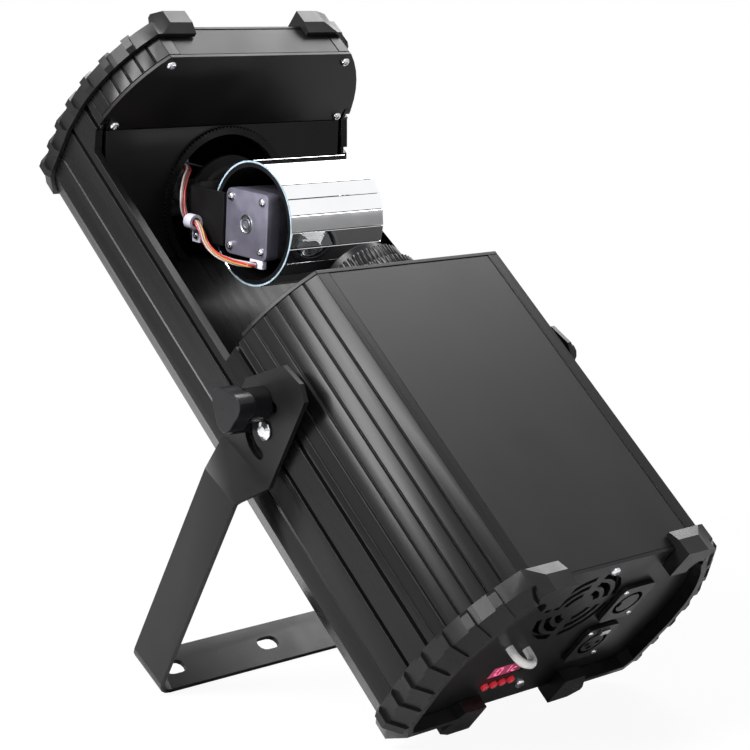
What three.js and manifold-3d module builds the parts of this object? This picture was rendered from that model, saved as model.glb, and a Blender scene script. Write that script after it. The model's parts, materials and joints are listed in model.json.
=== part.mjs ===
// LED scanner light: a faceted aluminium body with a mirror drum on a turning plate,
// standing on its bottom bumpers and on the base of its U bracket.
// Millimetres, +Z up. Inside the body group x runs across, y runs from the bottom end
// to the head, and z points out of the front.
import * as THREE from "three";
import { mergeVertices } from "three/addons/utils/BufferGeometryUtils.js";
import Module from "manifold-3d";

const wasm = await Module();
wasm.setup();

// Fits
const seat = 0.3; // gap between pieces that touch
const running = 0.6; // gap round a turning piece
const overrun = 5; // how far a cutter passes the face it cuts
const roundSides = 32;
const smallSides = 16;
const pinSides = 10;

// Body section
const hoodRadius = 98.5;
const hoodCentre = -13; // height of the middle of the curved hood
const frontDepth = 57.5;
const rearDepth = 66;
const rearHalf = 88; // half width of the flat back
const heelHeight = 14; // chamfer between side wall and back
const heelInset = 3;
const seamHeight = 10; // joint between hood and tray
const hoodWall = 4;
const trayWall = 5;
const backWall = 3;
const facetCount = 6;
const grooveDepth = 1;
const grooveWidth = 1.6;
const railWidth = 8;
const panelRecess = 2;
const panelThick = 1.4;
const slotWidth = 3;
const slotDepth = 3;
const upperSlotHeight = 4;
const lowerSlotHeight = -15;
const lowerGrooveHeight = -37;

// Lengths along the body
const endPlateY = 21; // the body frame starts this far below the end plate
const endPlateThick = 2;
const lowerLength = 212; // end plate to the lower closing plate
const bayLength = 172;
const headLength = 24;
const closingThick = 2.5;

// Stations along the body, worked out from the lengths
const endPlateBack = endPlateY + endPlateThick;
const bodyY = endPlateBack + seat;
const bayY = endPlateBack + lowerLength;
const headY = bayY + bayLength;
const headBodyY = headY + closingThick + seat;
const topPlateY = headY + headLength;
const bodyEndY = topPlateY - seat;
const endToEnd = endPlateY + topPlateY + endPlateThick; // a head piece's station is this less its twin's

// Bumpers
const bumperReach = 8; // end plate to the bumper's rim
const bumperSkirt = 7; // how far the bumper laps over the body
const bumperThick = 3;
const slopeStart = 1; // the outside slopes inward from this far past the end plate
const rimInset = 6;
const rimWall = 3.5;
const ribCount = 7;
const ribWidth = 5;
const ribProud = 2.5;
const footReach = 14; // how far a foot reaches in over the end plate
const footWidth = 16;
const footRamp = 8; // from a foot's top down to the skirt
const frontFootInset = 26; // from the front corner to the foot's inner side
const frontFootProud = 5.5;
const rearFootInset = 57;
const rearFootProud = 7;
const screwBossX = 61;
const screwBossZ = 46.5;
const screwBossRadius = 9;
const screwBossThick = 4;
const screwPocket = 5.5;

// Bay plate and turning plate
const bayAngle = THREE.MathUtils.degToRad(53);
const bayPlateTop = 1; // height where the plate meets the closing plate
const bayPlateHalfWidth = 90;
const bayPlateThick = 2.5;
const leftWallHeight = -9; // top of the tray's walls beside the bay
const rightWallHeight = -36;
const ringCentre = 48.5; // from the plate's upper edge
const ringHole = 43;
const ringOuter = 48;
const ringThick = 2;
const ringTeeth = 48;
const ringToothDepth = 1.2;
const discRadius = 30.5;
const discLow = 1;
const discThick = 3;
const domeRadius = 24;
const domeSlope = 2;
const domeRise = 1.5;
const hubRadius = 8;
const axleRadius = 4;
const axleEnd = 20;
const bearingRadius = 9;
const bearingRise = 1.5;
const mountBack = 15; // back face of the pan mount behind the plate
const mountThick = 2;

// Pan drive
const motorHalf = 19.65; // half of a 39.3 mm square stepping motor
const motorChamfer = 4.5;
const panMotorX = -42;
const panMotorUp = 21;
const panMotorLength = 20;
const motorShaft = 2.5;
const motorBore = 3;
const motorBoss = 11;
const motorBossRise = 2;
const motorRearBore = 4.5;
const motorRearDepth = 2;
const pulleyRadius = 18;
const pulleyTop = -4.5;
const pulleyThick = 6;
const flangeRise = 1.2;
const flangeThin = 0.8;
const pinionRadius = 7;
const beltThick = 1.2;
const postRadius = 3;
const mountLeft = -68;
const mountRight = 54;
const mountHigh = 44;
const mountLow = -8;
const mountNeck = 14; // upper edge of the part under the axle
const mountNeckX = -20;
const postInset = 5;

// Mirror drum
const drumHeight = 70.3; // drum axis above the bay plate
const drumLeft = -34.7;
const drumRight = 35.5;
const mirrorCount = 24;
const mirrorRadius = 37.3;
const mirrorGap = 0.8;
const mirrorNotch = 1;
const sleeveInner = 35.5;
const coreWall = 2;
const coreEndWall = 2.5;
const coreHub = 9;
const coreHubLength = 25;
const coreShaft = 8; // drum shaft from the motor's front to the hub, half of its length
const drumMotorRear = -38.9;
const drumMotorFront = 1.1;
const connectorDeep = 5;
const connectorLow = 4;
const connectorHigh = 16;
const connectorLong = 3.2;

// Motor arm
const armHalf = 16;
const armThick = 2;
const armX = -38.5; // inner face of the upright
const armFootLeft = -26;
const armFootRight = -8;
const armKneeHeight = 18; // height where the slanted foot turns upright

// Wire loom and its clip
const loomRadius = 2;
const loomSides = 8;
const clipBore = 2.9;
const clipRadius = 4.6;
const clipWidth = 7;
const clipPlace = [-45.3, -4.5, 27];
const clipTurn = THREE.MathUtils.degToRad(-90);
const clipTabLong = 8;
const clipTabHalf = 4;
const clipTabThick = 1.5;
const clipHole = 1.6;

// Optics
const axisHeight = 22;
const sleeveDepth = 36; // how far the lens sleeve reaches below the closing plate
const barrelRadius = 24;
const sleeveBore = 19.3;
const neckRadius = 21.3;
const collarRadius = 27;
const collarThick = 1.5;
const focusRadius = 29.5;
const focusLength = 9;
const tubeRadius = 19;
const tubeBore = 16;
const tubeDepth = 30;
const midRadius = 25.5;
const midLength = 11;
const capRadius = 20;
const capLength = 7;
const lensRadius = 17;
const lensThick = 4;
const lensCrown = 2;
const knurls = 24;
const knurlDepth = 1.2;
const sleeveRim = 2;

// Light engine inside the lower body
const sinkWidth = 84;
const sinkHigh = 44;
const sinkPlate = 6;
const sinkY = 46;
const finCount = 9;
const finLength = 30;
const finThick = 2;
const moduleHalf = 20;
const moduleThick = 3;
const domeLens = 9;
const domeLensRise = 5;
const domeShoulderShare = 0.75;
const crownShares = [0.75, 0.25]; // how much of a lens's crown is left half way out, front and back
const condenserY = 112;
const condenserRadius = 22;
const condenserThick = 9;
const wheelPitch = 18;
const wheelTurn = THREE.MathUtils.degToRad(30);
const wheelRadius = 28;
const wheelThick = 1.5;
const wheelHoles = 7;
const wheelHole = 6.5;
const colourY = 150;
const goboY = 160;
const smallMotorRadius = 9;
const smallMotorLength = 16;
const smallShaft = 1.5;
const bulkheadGap = 3;
const bulkheadThick = 1.5;
const chassisHalf = 50;
const chassisHigh = 49;
const chassisThick = 2;
const chassisFrom = 82;
const chassisTo = 196;
const lightHole = 11;
const supplyHalf = 74;
const supplyFrom = 52;
const supplyTo = 196;
const supplyHigh = -24;
const supplyWall = 1.5;

// Fan
const fanX = -7;
const fanZ = 21;
const fanHalf = 28;
const fanThick = 15;
const fanBore = 26.5;
const fanHub = 11;
const fanPin = 2.5;
const fanSpider = 2.5;
const fanBlades = 7;
const fanBladeThick = 1.5;
const fanBladeShare = 0.8;
const fanBladeLean = THREE.MathUtils.degToRad(35);
const fanCorner = 4;
const grilleFirst = 10;
const grillePitch = 7;
const grilleSlot = 4;
const grilleRings = 3;
const grilleBridge = 3;

// Sockets on the end plate
const socketX = 35;
const powerZ = 15;
const signalZ = -23;
const flangeWidth = 26;
const flangeHeight = 31;
const flangeThick = 2.5;
const flangeCorner = 4;
const socketBody = 11.5;
const socketBore = 9.8;
const socketCore = 7.6;
const socketDepth = 20;
const socketWell = 15;
const keyHalf = 2;
const pinBore = 1.8;
const pinCircle = 4.2;
const pinStep = THREE.MathUtils.degToRad(90);
const latchHalf = 3.5;
const latchTall = 3.6;
const latchThick = 2;
const latchProud = 2;
const latchTravel = 1;

// Display and buttons
const displayX = -23.5;
const displayZ = -31;
const displayWidth = 26;
const displayTall = 11;
const displayLip = 2;
const buttonZ = -43;
const buttonPitch = 6.6;
const buttonCount = 4;
const buttonRadius = 2.3;
const buttonProud = 1.8;
const buttonFlange = 2.9;
const buttonCollar = 1;
const buttonTravel = 1;
const boardThick = 1.6;
const boardMargin = 6;
const boardPost = 2;
const boardPostInset = 3;

// Safety eye
const eyeX = -31;
const eyeZ = -8.5;
const eyeHalf = 9.5;
const eyeTurn = THREE.MathUtils.degToRad(22.5);
const eyeWire = 2.4;
const eyeRise = 8;
const eyeLeg = 4;
const eyeNut = 3.9;
const eyeSteps = 8;
const eyeBowShare = 0.7; // power that squares the bow's shoulders

// Bracket
const bracketLean = THREE.MathUtils.degToRad(10.5);
const pivotY = 182.5;
const pivotZ = -5.5;
const stripHalf = 15;
const stripThick = 3;
const earGap = 2.5;
const earInner = hoodRadius + earGap;
const earLeft = 18;
const earTop = 34;
const earCrown = 40;
const earCrownLeft = 10;
const earCrownRight = 6;
const earRight = 28;
const earShoulder = 14;
const earLow = 26;
const joggleOut = 17.5;
const joggleDown = 10;
const bracketReach = 181; // pivot to the base's inner face
const bendRadius = 7;
const bendSteps = 4;
const arcSteps = 6;
const baseSlotLength = 15;
const baseSlotWidth = 10;
const baseSlotOuter = 100;
const baseSlotSpacing = 70;
const studAlong = 11.5; // the two studs lie in the T-slots, this far toward the head
const tiltDown = THREE.MathUtils.degToRad(33);
const tiltUp = THREE.MathUtils.degToRad(67);
const slotSpare = THREE.MathUtils.degToRad(3);
const boltRadius = 2.7;
const pivotRadius = 3;
const washerRadius = 6.5;
const screwHead = 5.5;
const screwHeadThick = 3;
const nutThick = 3;

// Clamp knob
const knobHub = 9.5;
const knobHubLength = 14;
const knobLength = 11;
const knobLobes = 3;
const knobMean = 11.5;
const knobWave = 1.8;
const knobSides = 24;
const studRadius = 3.4;
const studLength = 13;

const colours = {
  housing: [0x2b2c2e, 0.45, 0.6],
  panel: [0x323336, 0.5, 0.4],
  moulded: [0x1d1e20, 0.7, 0],
  plate: [0x242527, 0.55, 0.3],
  steel: [0xb8bbc0, 0.3, 1],
  motor: [0xa9a8b4, 0.4, 0.8],
  mirror: [0xdfe8ee, 0.05, 1],
  glass: [0xcfe0e8, 0.05, 0],
  white: [0xe8e6e2, 0.5, 0],
  red: [0xd8455a, 0.5, 0],
  board: [0x1f5b3a, 0.6, 0],
  wire: [0xb06a4a, 0.6, 0],
};

// Solids and placing

const axisX = new THREE.Vector3(1, 0, 0);
const axisY = new THREE.Vector3(0, 1, 0);
const axisZ = new THREE.Vector3(0, 0, 1);
const alongBody = new THREE.Matrix4().makeBasis(axisZ, axisX, axisY);
const acrossBody = new THREE.Matrix4().makeBasis(axisY, axisZ, axisX);

function toSolid(geometry) {
  const bare = geometry.clone();
  bare.deleteAttribute("normal");
  bare.deleteAttribute("uv");
  const merged = mergeVertices(bare, 1e-4);
  const { array } = merged.index;
  const kept = [];
  for (let i = 0; i < array.length; i += 3) {
    const [a, b, c] = [array[i], array[i + 1], array[i + 2]];
    if (a !== b && b !== c && c !== a) kept.push(a, b, c);
  }
  const mesh = new wasm.Mesh({
    numProp: 3,
    vertProperties: new Float32Array(merged.attributes.position.array),
    triVerts: new Uint32Array(kept),
  });
  mesh.merge();
  return new wasm.Manifold(mesh);
}

function toGeometry(solid) {
  const mesh = solid.getMesh();
  const geometry = new THREE.BufferGeometry();
  geometry.setAttribute("position", new THREE.BufferAttribute(new Float32Array(mesh.vertProperties), 3));
  geometry.setIndex(new THREE.BufferAttribute(new Uint32Array(mesh.triVerts), 1));
  geometry.computeVertexNormals();
  return geometry;
}

function join(first, ...others) {
  return toGeometry(others.reduce((solid, other) => solid.add(toSolid(other)), toSolid(first)));
}

function cut(first, ...others) {
  return toGeometry(others.reduce((solid, other) => solid.subtract(toSolid(other)), toSolid(first)));
}

function common(first, second) {
  return toGeometry(toSolid(first).intersect(toSolid(second)));
}

const mirrorImage = (geometry, normal) => toGeometry(toSolid(geometry).mirror(normal));
const leftOf = (geometry) => mirrorImage(geometry, [1, 0, 0]);
const headOf = (geometry) => mirrorImage(geometry, [0, 1, 0]).translate(0, endToEnd, 0);

// An outline as vectors, wound the wanted way
function wound(points, clockwise) {
  const vectors = points.map(([u, v]) => new THREE.Vector2(u, v));
  return THREE.ShapeUtils.isClockWise(vectors) === clockwise ? vectors : vectors.reverse();
}

function flatShape(points, holes) {
  const shape = new THREE.Shape(wound(points, false));
  for (const hole of holes) shape.holes.push(new THREE.Path(wound(hole, true)));
  return shape;
}

const swapped = (points) => points.map(([u, v]) => [v, u]);

// A polygon in x and z, pushed along y between two stations
function bodyPrism(points, from, to, holes = []) {
  const shape = flatShape(swapped(points), holes.map(swapped));
  const geometry = new THREE.ExtrudeGeometry(shape, { depth: to - from, bevelEnabled: false });
  return geometry.applyMatrix4(alongBody).translate(0, from, 0);
}

// A polygon in y and z, pushed along x between two stations
function crossPrism(points, from, to, holes = []) {
  const geometry = new THREE.ExtrudeGeometry(flatShape(points, holes), { depth: to - from, bevelEnabled: false });
  return geometry.applyMatrix4(acrossBody).translate(from, 0, 0);
}

// A polygon in x and y, pushed along z between two stations
function upPrism(points, from, to, holes = []) {
  const geometry = new THREE.ExtrudeGeometry(flatShape(points, holes), { depth: to - from, bevelEnabled: false });
  return geometry.translate(0, 0, from);
}

function box(x0, x1, y0, y1, z0, z1) {
  const geometry = new THREE.BoxGeometry(x1 - x0, y1 - y0, z1 - z0);
  return geometry.translate((x0 + x1) / 2, (y0 + y1) / 2, (z0 + z1) / 2);
}

// A profile of radius and station, turned about the wanted axis
function turned(profile, sides = roundSides, axis = "y") {
  const points = profile.map(([radius, station]) => new THREE.Vector2(radius, station));
  if (THREE.ShapeUtils.isClockWise(points)) points.reverse();
  while (points.some(({ x }) => x === 0) && points[0].x !== 0) points.push(points.shift());
  if (points[0].x === 0 && points[1].x === 0) points.push(points.shift());
  if (points[0].x !== 0) points.push(points[0].clone());
  const geometry = new THREE.LatheGeometry(points, sides);
  if (axis === "x") geometry.rotateZ(-Math.PI / 2);
  if (axis === "z") geometry.rotateX(Math.PI / 2);
  return geometry;
}

function rod(radius, from, to, axis = "y", sides = smallSides) {
  return turned([[0, from], [radius, from], [radius, to], [0, to]], sides, axis);
}

function tube(inner, outer, from, to, axis = "y", sides = roundSides) {
  return turned([[inner, from], [outer, from], [outer, to], [inner, to]], sides, axis);
}

function circle(cx, cy, radius, sides = smallSides) {
  const points = [];
  for (let i = 0; i < sides; i += 1) {
    const angle = (2 * Math.PI * i) / sides;
    points.push([cx + radius * Math.cos(angle), cy + radius * Math.sin(angle)]);
  }
  return points;
}

function rectangle(cx, cy, width, height) {
  return [[-1, -1], [1, -1], [1, 1], [-1, 1]].map(([sx, sy]) => [cx + (sx * width) / 2, cy + (sy * height) / 2]);
}

function roundedRectangle(cx, cy, width, height, radius, steps = 4) {
  const points = [];
  const corners = [[1, 1], [-1, 1], [-1, -1], [1, -1]];
  corners.forEach(([sx, sy], quarter) => {
    const px = cx + sx * (width / 2 - radius);
    const py = cy + sy * (height / 2 - radius);
    for (let i = 0; i <= steps; i += 1) {
      const angle = (Math.PI / 2) * (quarter + i / steps);
      points.push([px + radius * Math.cos(angle), py + radius * Math.sin(angle)]);
    }
  });
  return points;
}

// A band of a ring between two radii and two angles, with straight ends
function arcSlot(cx, cy, inner, outer, start, end, steps = 4) {
  const points = [];
  for (let i = 0; i <= steps; i += 1) {
    const angle = start + ((end - start) * i) / steps;
    points.push([cx + outer * Math.cos(angle), cy + outer * Math.sin(angle)]);
  }
  for (let i = steps; i >= 0; i -= 1) {
    const angle = start + ((end - start) * i) / steps;
    points.push([cx + inner * Math.cos(angle), cy + inner * Math.sin(angle)]);
  }
  return points;
}

// A wheel outline with teeth, each drawn as shares of one step
const toothShares = [[0, 1], [0.25, 0], [0.5, 0], [0.75, 1]];
function toothed(radius, depth, teeth) {
  const points = [];
  const step = (2 * Math.PI) / teeth;
  for (let i = 0; i < teeth; i += 1) {
    for (const [share, low] of toothShares) {
      const angle = step * (i + share);
      points.push([(radius - low * depth) * Math.cos(angle), (radius - low * depth) * Math.sin(angle)]);
    }
  }
  return points;
}

function piece(name, geometry, look) {
  const [color, roughness, metalness] = colours[look];
  const material = new THREE.MeshStandardMaterial({ color, roughness, metalness });
  const mesh = new THREE.Mesh(toGeometry(toSolid(geometry)), material);
  mesh.name = name;
  return mesh;
}

const mirrored = (points) => points.map(([x, z]) => [-x, z]).reverse();

// Body section outlines

const hoodX = (z, radius = hoodRadius) => Math.sqrt(radius ** 2 - (z - hoodCentre) ** 2);
const seamAngle = Math.asin((seamHeight - hoodCentre) / hoodRadius);
const cornerAngle = Math.asin((frontDepth - hoodCentre) / hoodRadius);
const frontHalf = hoodX(frontDepth);
const onHood = (radius, angle) => [radius * Math.cos(angle), hoodCentre + radius * Math.sin(angle)];

// Right side of the hood from the seam to the front corner, with or without its grooves
function hoodSide(radius, grooved) {
  const points = [onHood(radius, seamAngle)];
  const halfGroove = grooveWidth / 2 / radius;
  for (let i = 1; i < facetCount; i += 1) {
    const angle = seamAngle + ((cornerAngle - seamAngle) * i) / facetCount;
    if (grooved) {
      points.push(onHood(radius, angle - halfGroove));
      points.push(onHood(radius - grooveDepth, angle));
      points.push(onHood(radius, angle + halfGroove));
    } else {
      points.push(onHood(radius, angle));
    }
  }
  points.push(onHood(radius, cornerAngle));
  return points;
}

function hoodOutline() {
  const outer = hoodSide(hoodRadius, true);
  outer[0] = [hoodX(seamHeight + seat), seamHeight + seat];
  const railInner = frontHalf - railWidth;
  outer.push([railInner, frontDepth], [railInner, frontDepth - panelRecess]);
  const innerFront = frontDepth - panelRecess - hoodWall;
  const innerRadius = hoodRadius - hoodWall;
  const innerCorner = Math.asin((innerFront - hoodCentre) / innerRadius);
  const inner = [[hoodX(seamHeight + seat, innerRadius), seamHeight + seat]];
  for (let i = 1; i <= facetCount; i += 1) {
    inner.push(onHood(innerRadius, seamAngle + ((innerCorner - seamAngle) * i) / facetCount));
  }
  return [...outer, ...mirrored(outer), ...mirrored(inner.slice().reverse()), ...inner.slice().reverse()];
}

const heelZ = -rearDepth + heelHeight;

// Outer half width of the tray at a height
function trayX(z) {
  if (z >= hoodCentre) return hoodX(z);
  return hoodRadius - (heelInset * (hoodCentre - z)) / (hoodCentre - heelZ);
}

// Right side of the tray from the seam down, with its T-slots and groove or plain
function slottedSide() {
  const points = [[trayX(seamHeight), seamHeight]];
  for (const z of [upperSlotHeight, lowerSlotHeight]) {
    const high = z + slotWidth / 2;
    const low = z - slotWidth / 2;
    points.push([trayX(high), high], [trayX(high) - slotDepth, high]);
    points.push([trayX(low) - slotDepth, low], [trayX(low), low]);
  }
  const half = grooveWidth / 2;
  points.push([trayX(lowerGrooveHeight + half), lowerGrooveHeight + half]);
  points.push([trayX(lowerGrooveHeight) - grooveDepth, lowerGrooveHeight]);
  points.push([trayX(lowerGrooveHeight - half), lowerGrooveHeight - half]);
  return points;
}

function plainSide(inset) {
  const heights = [seamHeight, upperSlotHeight, lowerSlotHeight, lowerGrooveHeight];
  return heights.map((z) => [trayX(z) - inset, z]);
}

function trayOuter(slotted) {
  return [...(slotted ? slottedSide() : plainSide(0)), [trayX(heelZ), heelZ], [rearHalf, -rearDepth]];
}

function trayInner(extra = 0) {
  const inset = trayWall + extra;
  const back = -rearDepth + backWall + extra;
  return [...plainSide(inset), [trayX(heelZ) - inset, heelZ], [rearHalf - inset, back]];
}

function trayOutline() {
  const outer = trayOuter(true);
  const inner = trayInner();
  return [...outer, ...mirrored(outer), ...mirrored(inner.slice().reverse()), ...inner.slice().reverse()];
}

// Moves a corner outward so that both of its edges move by the same distance
function offsetPoint(before, point, after, distance) {
  const first = new THREE.Vector2(point[0] - before[0], point[1] - before[1]).normalize();
  const second = new THREE.Vector2(after[0] - point[0], after[1] - point[1]).normalize();
  const normalA = new THREE.Vector2(first.y, -first.x);
  const normalB = new THREE.Vector2(second.y, -second.x);
  const middle = normalA.clone().add(normalB).normalize();
  const scale = distance / middle.dot(normalA);
  return [point[0] + middle.x * scale, point[1] + middle.y * scale];
}

// Right side of the whole outline, from the back corner to the front corner
const outlineSide = [...trayOuter(false).reverse(), ...hoodSide(hoodRadius, false).slice(1)];

// Whole outline of the body, without grooves
function bodyOutline(grow = 0) {
  const last = outlineSide.length - 1;
  const grown = outlineSide.map((point, i) => {
    const before = i === 0 ? [0, -rearDepth] : outlineSide[i - 1];
    const after = i === last ? [0, frontDepth] : outlineSide[i + 1];
    return offsetPoint(before, point, after, grow);
  });
  return [...grown, ...mirrored(grown)];
}

// Bay plate frame: x across, y up the plate, z out of the plate toward the drum
const plateUp = new THREE.Vector3(0, Math.cos(bayAngle), Math.sin(bayAngle));
const plateOut = new THREE.Vector3(0, -Math.sin(bayAngle), Math.cos(bayAngle));
const plateEdge = new THREE.Vector3(0, headY - seat, bayPlateTop);
const plateCentre = plateEdge.clone().addScaledVector(plateUp, -ringCentre);
const intoPlate = new THREE.Matrix4()
  .makeBasis(axisX, plateUp, plateOut)
  .setPosition(plateCentre)
  .invert();

// Places of the bracket's fixings, seen from the pivot
const upperStud = new THREE.Vector2(studAlong, upperSlotHeight - pivotZ);
const lowerStud = new THREE.Vector2(studAlong, lowerSlotHeight - pivotZ);
const slotRadius = upperStud.length();

// Housings

function rearHousing() {
  const shell = bodyPrism(trayOutline(), bodyY, bodyEndY);
  const reach = hoodRadius + overrun;
  const bayCut = (height, from, to) => {
    const alongCut = (bayPlateTop - height) / Math.tan(bayAngle);
    const profile = [
      [bayY, height],
      [headY - alongCut, height],
      [headY, bayPlateTop],
      [headY, seamHeight + overrun],
      [bayY, seamHeight + overrun],
    ];
    return crossPrism(profile, from, to);
  };
  const bores = [
    rod(pivotRadius + seat, -reach, reach, "x", pinSides).translate(0, pivotY, pivotZ),
    rod(boltRadius + seat, -reach, reach, "x", pinSides).translate(0, pivotY + upperStud.x, upperSlotHeight),
    rod(boltRadius + seat, -reach, reach, "x", pinSides).translate(0, pivotY + lowerStud.x, lowerSlotHeight),
  ];
  return cut(shell, bayCut(leftWallHeight, -reach, 0), bayCut(rightWallHeight, 0, reach), ...bores);
}

function frontPanel(from, to) {
  const half = frontHalf - railWidth - seat;
  const low = frontDepth - panelRecess + seat;
  return box(-half, half, from, to, low, low + panelThick);
}

// Outline of a closing plate: the hood above the seam and what is wanted below it
function closingOutline(below) {
  const side = hoodSide(hoodRadius, false);
  side[0] = [hoodX(seamHeight + seat), seamHeight + seat];
  const right = [...below, ...side];
  return [...right, ...mirrored(right)];
}

function headClosingPlate() {
  const below = [[bayPlateHalfWidth, bayPlateTop], [bayPlateHalfWidth, seamHeight + seat]];
  return bodyPrism(closingOutline(below), headY, headY + closingThick);
}

function lowerClosingPlate() {
  const inner = trayInner(seat).slice(1).reverse();
  const shoulder = [Math.min(bayPlateHalfWidth, inner[inner.length - 1][0]), seamHeight + seat];
  const hole = circle(0, axisHeight, barrelRadius + seat, roundSides);
  return bodyPrism(closingOutline([...inner, shoulder]), bayY, bayY + closingThick, [hole]);
}

// Room inside the tray, seen from the bay plate's frame
function insideTray() {
  const inner = trayInner(seat);
  const outline = [...inner, ...mirrored(inner)];
  return bodyPrism(outline, bayY, topPlateY).applyMatrix4(intoPlate);
}

function bayPlate() {
  const low = -ringCentre - rearDepth;
  const outline = rectangle(0, (low + ringCentre) / 2, 2 * bayPlateHalfWidth, ringCentre - low);
  const slab = upPrism(outline, -bayPlateThick, 0);
  const hole = rod(ringHole, -bayPlateThick - overrun, overrun, "z", roundSides);
  return common(cut(slab, hole), insideTray());
}

function bayRing() {
  const teeth = toothed(ringOuter, ringToothDepth, ringTeeth);
  const ring = upPrism(teeth, seat, seat + ringThick, [circle(0, 0, ringHole, roundSides)]);
  return common(ring, insideTray());
}

// Bumpers

const skirtEnd = endPlateBack + bumperSkirt;
const rimY = endPlateY - bumperReach;
const slopeY = endPlateY - slopeStart;

// Prism whose low end takes another outline with as many points
function taperedPrism(low, high, from, to) {
  const geometry = bodyPrism(high, from, to);
  const { position } = geometry.attributes;
  for (let i = 0; i < position.count; i += 1) {
    if (position.getY(i) < (from + to) / 2) {
      const far = ([x, z]) => Math.hypot(x - position.getX(i), z - position.getZ(i));
      const place = low[high.findIndex((point) => far(point) < seat)];
      position.setXYZ(i, place[0], from, place[1]);
    }
  }
  return geometry;
}

// Places along the side of the outline, from the back corner to the front, with their normals
function sideStations(count) {
  const path = outlineSide.map(([x, z]) => new THREE.Vector3(x, 0, z));
  const lengths = path.slice(1).map((point, i) => point.distanceTo(path[i]));
  const total = lengths.reduce((sum, length) => sum + length, 0);
  const stations = [];
  for (let i = 1; i <= count; i += 1) {
    let left = (total * i) / (count + 1);
    let k = 0;
    while (left > lengths[k]) {
      left -= lengths[k];
      k += 1;
    }
    const along = path[k + 1].clone().sub(path[k]).normalize();
    const at = path[k].clone().addScaledVector(along, left);
    stations.push({ at, out: new THREE.Vector3(along.z, 0, -along.x) });
  }
  return stations;
}

function bumperRibs() {
  const profile = [
    [rimY, -rimInset - rimWall / 2],
    [rimY, -rimInset + ribProud],
    [slopeY, bumperThick + ribProud],
    [skirtEnd - ribProud, bumperThick + ribProud],
    [skirtEnd, bumperThick],
    [skirtEnd, -rimInset - rimWall / 2],
  ];
  return sideStations(ribCount).map(({ at, out }) => {
    const geometry = new THREE.ExtrudeGeometry(flatShape(profile, []), { depth: ribWidth, bevelEnabled: false });
    geometry.translate(0, 0, -ribWidth / 2);
    const frame = new THREE.Matrix4().makeBasis(axisY, out, axisY.clone().cross(out)).setPosition(at);
    return geometry.applyMatrix4(frame);
  });
}

// Foot on the front or back, with a ramp down to the skirt at its side and its upper end
function bumperFoot(depth, sign, near, proud) {
  const far = near + footWidth;
  const across = [
    [near, depth - footReach],
    [near, depth + proud],
    [far, depth + proud],
    [far + footRamp, depth + bumperThick],
    [far + footRamp, depth],
    [far, depth - footReach],
  ];
  const along = [
    [rimY, depth - footReach],
    [rimY, depth + proud],
    [endPlateBack, depth + proud],
    [skirtEnd, depth + bumperThick],
    [skirtEnd, depth - footReach],
  ];
  const block = bodyPrism(across.map(([x, z]) => [x, sign * z]), rimY, skirtEnd);
  return common(block, crossPrism(along.map(([y, z]) => [y, sign * z]), 0, hoodRadius));
}

function bumper() {
  const slope = taperedPrism(bodyOutline(-rimInset), bodyOutline(bumperThick), rimY, slopeY);
  const skirt = bodyPrism(bodyOutline(bumperThick), slopeY, skirtEnd);
  const room = bodyPrism(bodyOutline(-rimInset - rimWall), rimY - overrun, skirtEnd + overrun);
  const frontNear = frontHalf - frontFootInset;
  const rearNear = rearHalf - rearFootInset;
  const seatY = endPlateY - seat;
  const place = (solid) => solid.translate(screwBossX, 0, screwBossZ);
  const added = [
    ...bumperRibs(),
    bumperFoot(frontDepth, 1, frontNear, frontFootProud),
    bumperFoot(rearDepth, -1, rearNear, rearFootProud),
    place(rod(screwBossRadius, seatY - screwBossThick, seatY)),
  ];
  const pocket = place(rod(screwPocket, rimY - overrun, endPlateY));
  const envelope = bodyPrism(bodyOutline(seat), seatY, endToEnd);
  const whole = cut(join(cut(join(slope, skirt), room), ...added), envelope, pocket);
  const reach = hoodRadius + ribProud + overrun;
  const front = box(frontNear, reach, 0, endToEnd, 0, reach);
  const back = box(rearNear, reach, 0, endToEnd, -reach, 0);
  return common(whole, join(front, back));
}

// End plates

// Rings of slots in front of the fan
function grilleSlots() {
  const slots = [];
  for (let ring = 0; ring < grilleRings; ring += 1) {
    const inner = grilleFirst + ring * grillePitch;
    const bridge = grilleBridge / inner;
    for (let quarter = 0; quarter < 4; quarter += 1) {
      const start = (Math.PI / 2) * quarter + bridge;
      const end = (Math.PI / 2) * (quarter + 1) - bridge;
      slots.push(arcSlot(fanX, fanZ, inner, inner + grilleSlot, start, end));
    }
  }
  return slots;
}

const buttonX = (i) => displayX + (i - (buttonCount - 1) / 2) * buttonPitch;
const eyeEnd = (sign) => [eyeX + sign * eyeHalf * Math.cos(eyeTurn), eyeZ - sign * eyeHalf * Math.sin(eyeTurn)];

function bottomEndPlate() {
  const holes = [
    ...grilleSlots(),
    circle(socketX, powerZ, socketBody + seat, smallSides),
    circle(socketX, signalZ, socketBody + seat, smallSides),
    rectangle(displayX, displayZ, displayWidth, displayTall),
    circle(...eyeEnd(-1), eyeWire + seat, pinSides),
    circle(...eyeEnd(1), eyeWire + seat, pinSides),
  ];
  for (let i = 0; i < buttonCount; i += 1) {
    holes.push(circle(buttonX(i), buttonZ, buttonRadius + seat, pinSides));
  }
  return bodyPrism(bodyOutline(), endPlateY, endPlateBack, holes);
}

// Panel-mount socket: a flange outside the end plate, a round body behind it
function socket(height, cuts) {
  const face = endPlateY - seat - flangeThick;
  const outline = roundedRectangle(socketX, height, flangeWidth, flangeHeight, flangeCorner, 3);
  const flange = bodyPrism(outline, face, endPlateY - seat);
  const barrel = rod(socketBody, face, endPlateY + socketDepth).translate(socketX, 0, height);
  const well = tube(socketCore, socketBore, face - overrun, endPlateY + socketWell, "y", smallSides);
  return cut(join(flange, barrel), well.translate(socketX, 0, height), ...cuts);
}

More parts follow.
